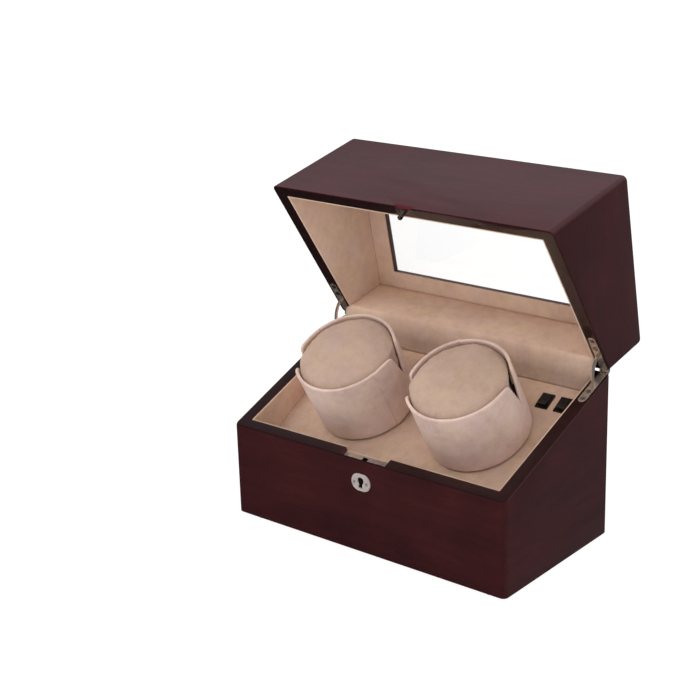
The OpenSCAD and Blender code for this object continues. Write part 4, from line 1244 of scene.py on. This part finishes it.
# ---------------------------------------------------------------- stage, metres
def build_floor():
    """White paper floor, mostly glowing to the camera so that it stays white."""
    mesh = bpy.data.meshes.new("floor")
    z = cad_box[0][2]
    mesh.from_pydata([(-8, -6, z), (8, -6, z), (8, 12, z), (-8, 12, z)], [], [(0, 1, 2, 3)])
    floor = bpy.data.objects.new("floor", mesh)
    scene.collection.objects.link(floor)
    material, nodes = new_material("floor_paper")
    speckle = nodes.noise(nodes.coords_mm(), scale=0.8, detail=3.0, roughness=0.6)
    paper = nodes.principled(
        Base_Color=nodes.ramp(speckle, [(0.3, (0.80, 0.795, 0.79)), (0.7, (0.84, 0.835, 0.83))]),
        Roughness=0.95, Specular_IOR_Level=0.05)
    glow = nodes.add("Emission", {"Color": (1, 1, 1, 1), "Strength": 1.12}).outputs[0]
    seen = nodes.add("LightPath").outputs["Is Camera Ray"]
    nodes.output(nodes.mix_shader(nodes.math("MULTIPLY", seen, 0.86), paper, glow))
    mesh.materials.append(material)
    floor.visible_glossy = False


def build_world():
    """White to the camera, even light for diffuse rays, a dim room in reflections."""
    world = bpy.data.worlds.new("studio")
    scene.world = world
    world.use_nodes = True
    nodes = Nodes(world.node_tree)

    def background(color, strength):
        return nodes.add("Background", {"Color": color, "Strength": strength}).outputs[0]

    rays = nodes.add("LightPath").outputs
    direction = nodes.add("TexCoord").outputs["Generated"]
    axes = nodes.add("SeparateXYZ", {0: direction}).outputs
    # the room is brighter overhead, except towards the front, and behind on the right
    overhead = nodes.map_range(axes["Z"], (0.05, 0.75), kind="SMOOTHSTEP")
    behind = nodes.map_range(axes["Y"], (-0.22, 0.22), (0.03, 1.0), kind="SMOOTHSTEP")
    overhead = nodes.math("MULTIPLY", overhead, behind)
    diagonal = nodes.math("ADD", nodes.math("MULTIPLY", axes["X"], 0.64),
                          nodes.math("MULTIPLY", axes["Y"], 0.77))
    back_right = nodes.map_range(diagonal, (-0.1, 0.9), kind="SMOOTHSTEP")
    level = nodes.math("MULTIPLY_ADD", overhead, 0.37, 0.035)
    level = nodes.math("MULTIPLY_ADD", back_right, 0.07, level)
    # soft uneven patches
    mapped = nodes.add("Mapping", {"Vector": direction, "Scale": (1.2, 2.4, 1.8),
                                   "Rotation": (0.3, 0.2, 0.6)}).outputs[0]
    patches = nodes.noise(mapped, scale=1.3, distortion=0.5)
    level = nodes.math("MULTIPLY", level, nodes.map_range(patches, (0.3, 0.7), (0.72, 1.25)))
    room = nodes.add("CombineColor", {
        0: level, 1: nodes.math("MULTIPLY", level, 0.90),
        2: nodes.math("MULTIPLY", level, 0.96)}).outputs[0]
    lighting = nodes.mix_shader(rays["Is Glossy Ray"],
                                background((1.0, 0.985, 0.965, 1), strength=0.88),
                                background(room, strength=1.0))
    shader = nodes.mix_shader(rays["Is Camera Ray"], lighting,
                              background((1.0, 1.0, 1.0, 1), strength=1.0))
    nodes.output(shader, "OutputWorld")


def area_light(name, location, target, size, power, color):
    light = bpy.data.lights.new(name, "AREA")
    light.shape = "DISK"
    light.size = size
    light.energy = power
    light.color = color
    obj = bpy.data.objects.new(name, light)
    scene.collection.objects.link(obj)
    obj.location = location
    aim = Vector(target) - Vector(location)
    obj.rotation_euler = aim.to_track_quat("-Z", "Y").to_euler()
    obj.visible_glossy = False
    obj.visible_camera = False


def build_camera(location, yaw, pitch, roll, lens):
    """Angles in radians; yaw turns left from +Y and pitch looks down."""
    data = bpy.data.cameras.new("camera")
    data.sensor_width = 36.0
    data.sensor_fit = "HORIZONTAL"
    data.lens = lens
    data.clip_start, data.clip_end = 0.02, 50.0
    camera = bpy.data.objects.new("camera", data)
    scene.collection.objects.link(camera)
    forward = Vector((-sin(yaw) * cos(pitch), cos(yaw) * cos(pitch), -sin(pitch)))
    right = forward.cross(Vector((0, 0, 1))).normalized()
    up = right.cross(forward)
    rolled_right = right * cos(roll) + up * sin(roll)
    rolled_up = up * cos(roll) - right * sin(roll)
    pose = Matrix((rolled_right, rolled_up, -forward)).transposed().to_4x4()
    pose.translation = location
    camera.matrix_world = pose
    scene.camera = camera


scene.view_settings.view_transform = "Standard"
scene.view_settings.look = "None"
build_floor()
build_world()
area_light("key", location=(-0.62, -1.05, 1.62), target=(0, 0, 0.10), size=1.3, power=9.5,
           color=(1.0, 0.975, 0.955))
area_light("fill", location=(1.3, -1.0, 0.9), target=(0, 0, 0.10), size=1.1, power=1.8,
           color=(0.97, 0.98, 1.0))
area_light("top", location=(0.1, 0.5, 1.7), target=(0, 0.1, 0.1), size=1.2, power=10.0,
           color=(1, 1, 1))
build_camera(location=(0.67616, -0.88131, 0.52145), yaw=rad(40.006), pitch=rad(18.992),
             roll=rad(-1.717), lens=82.092857143)
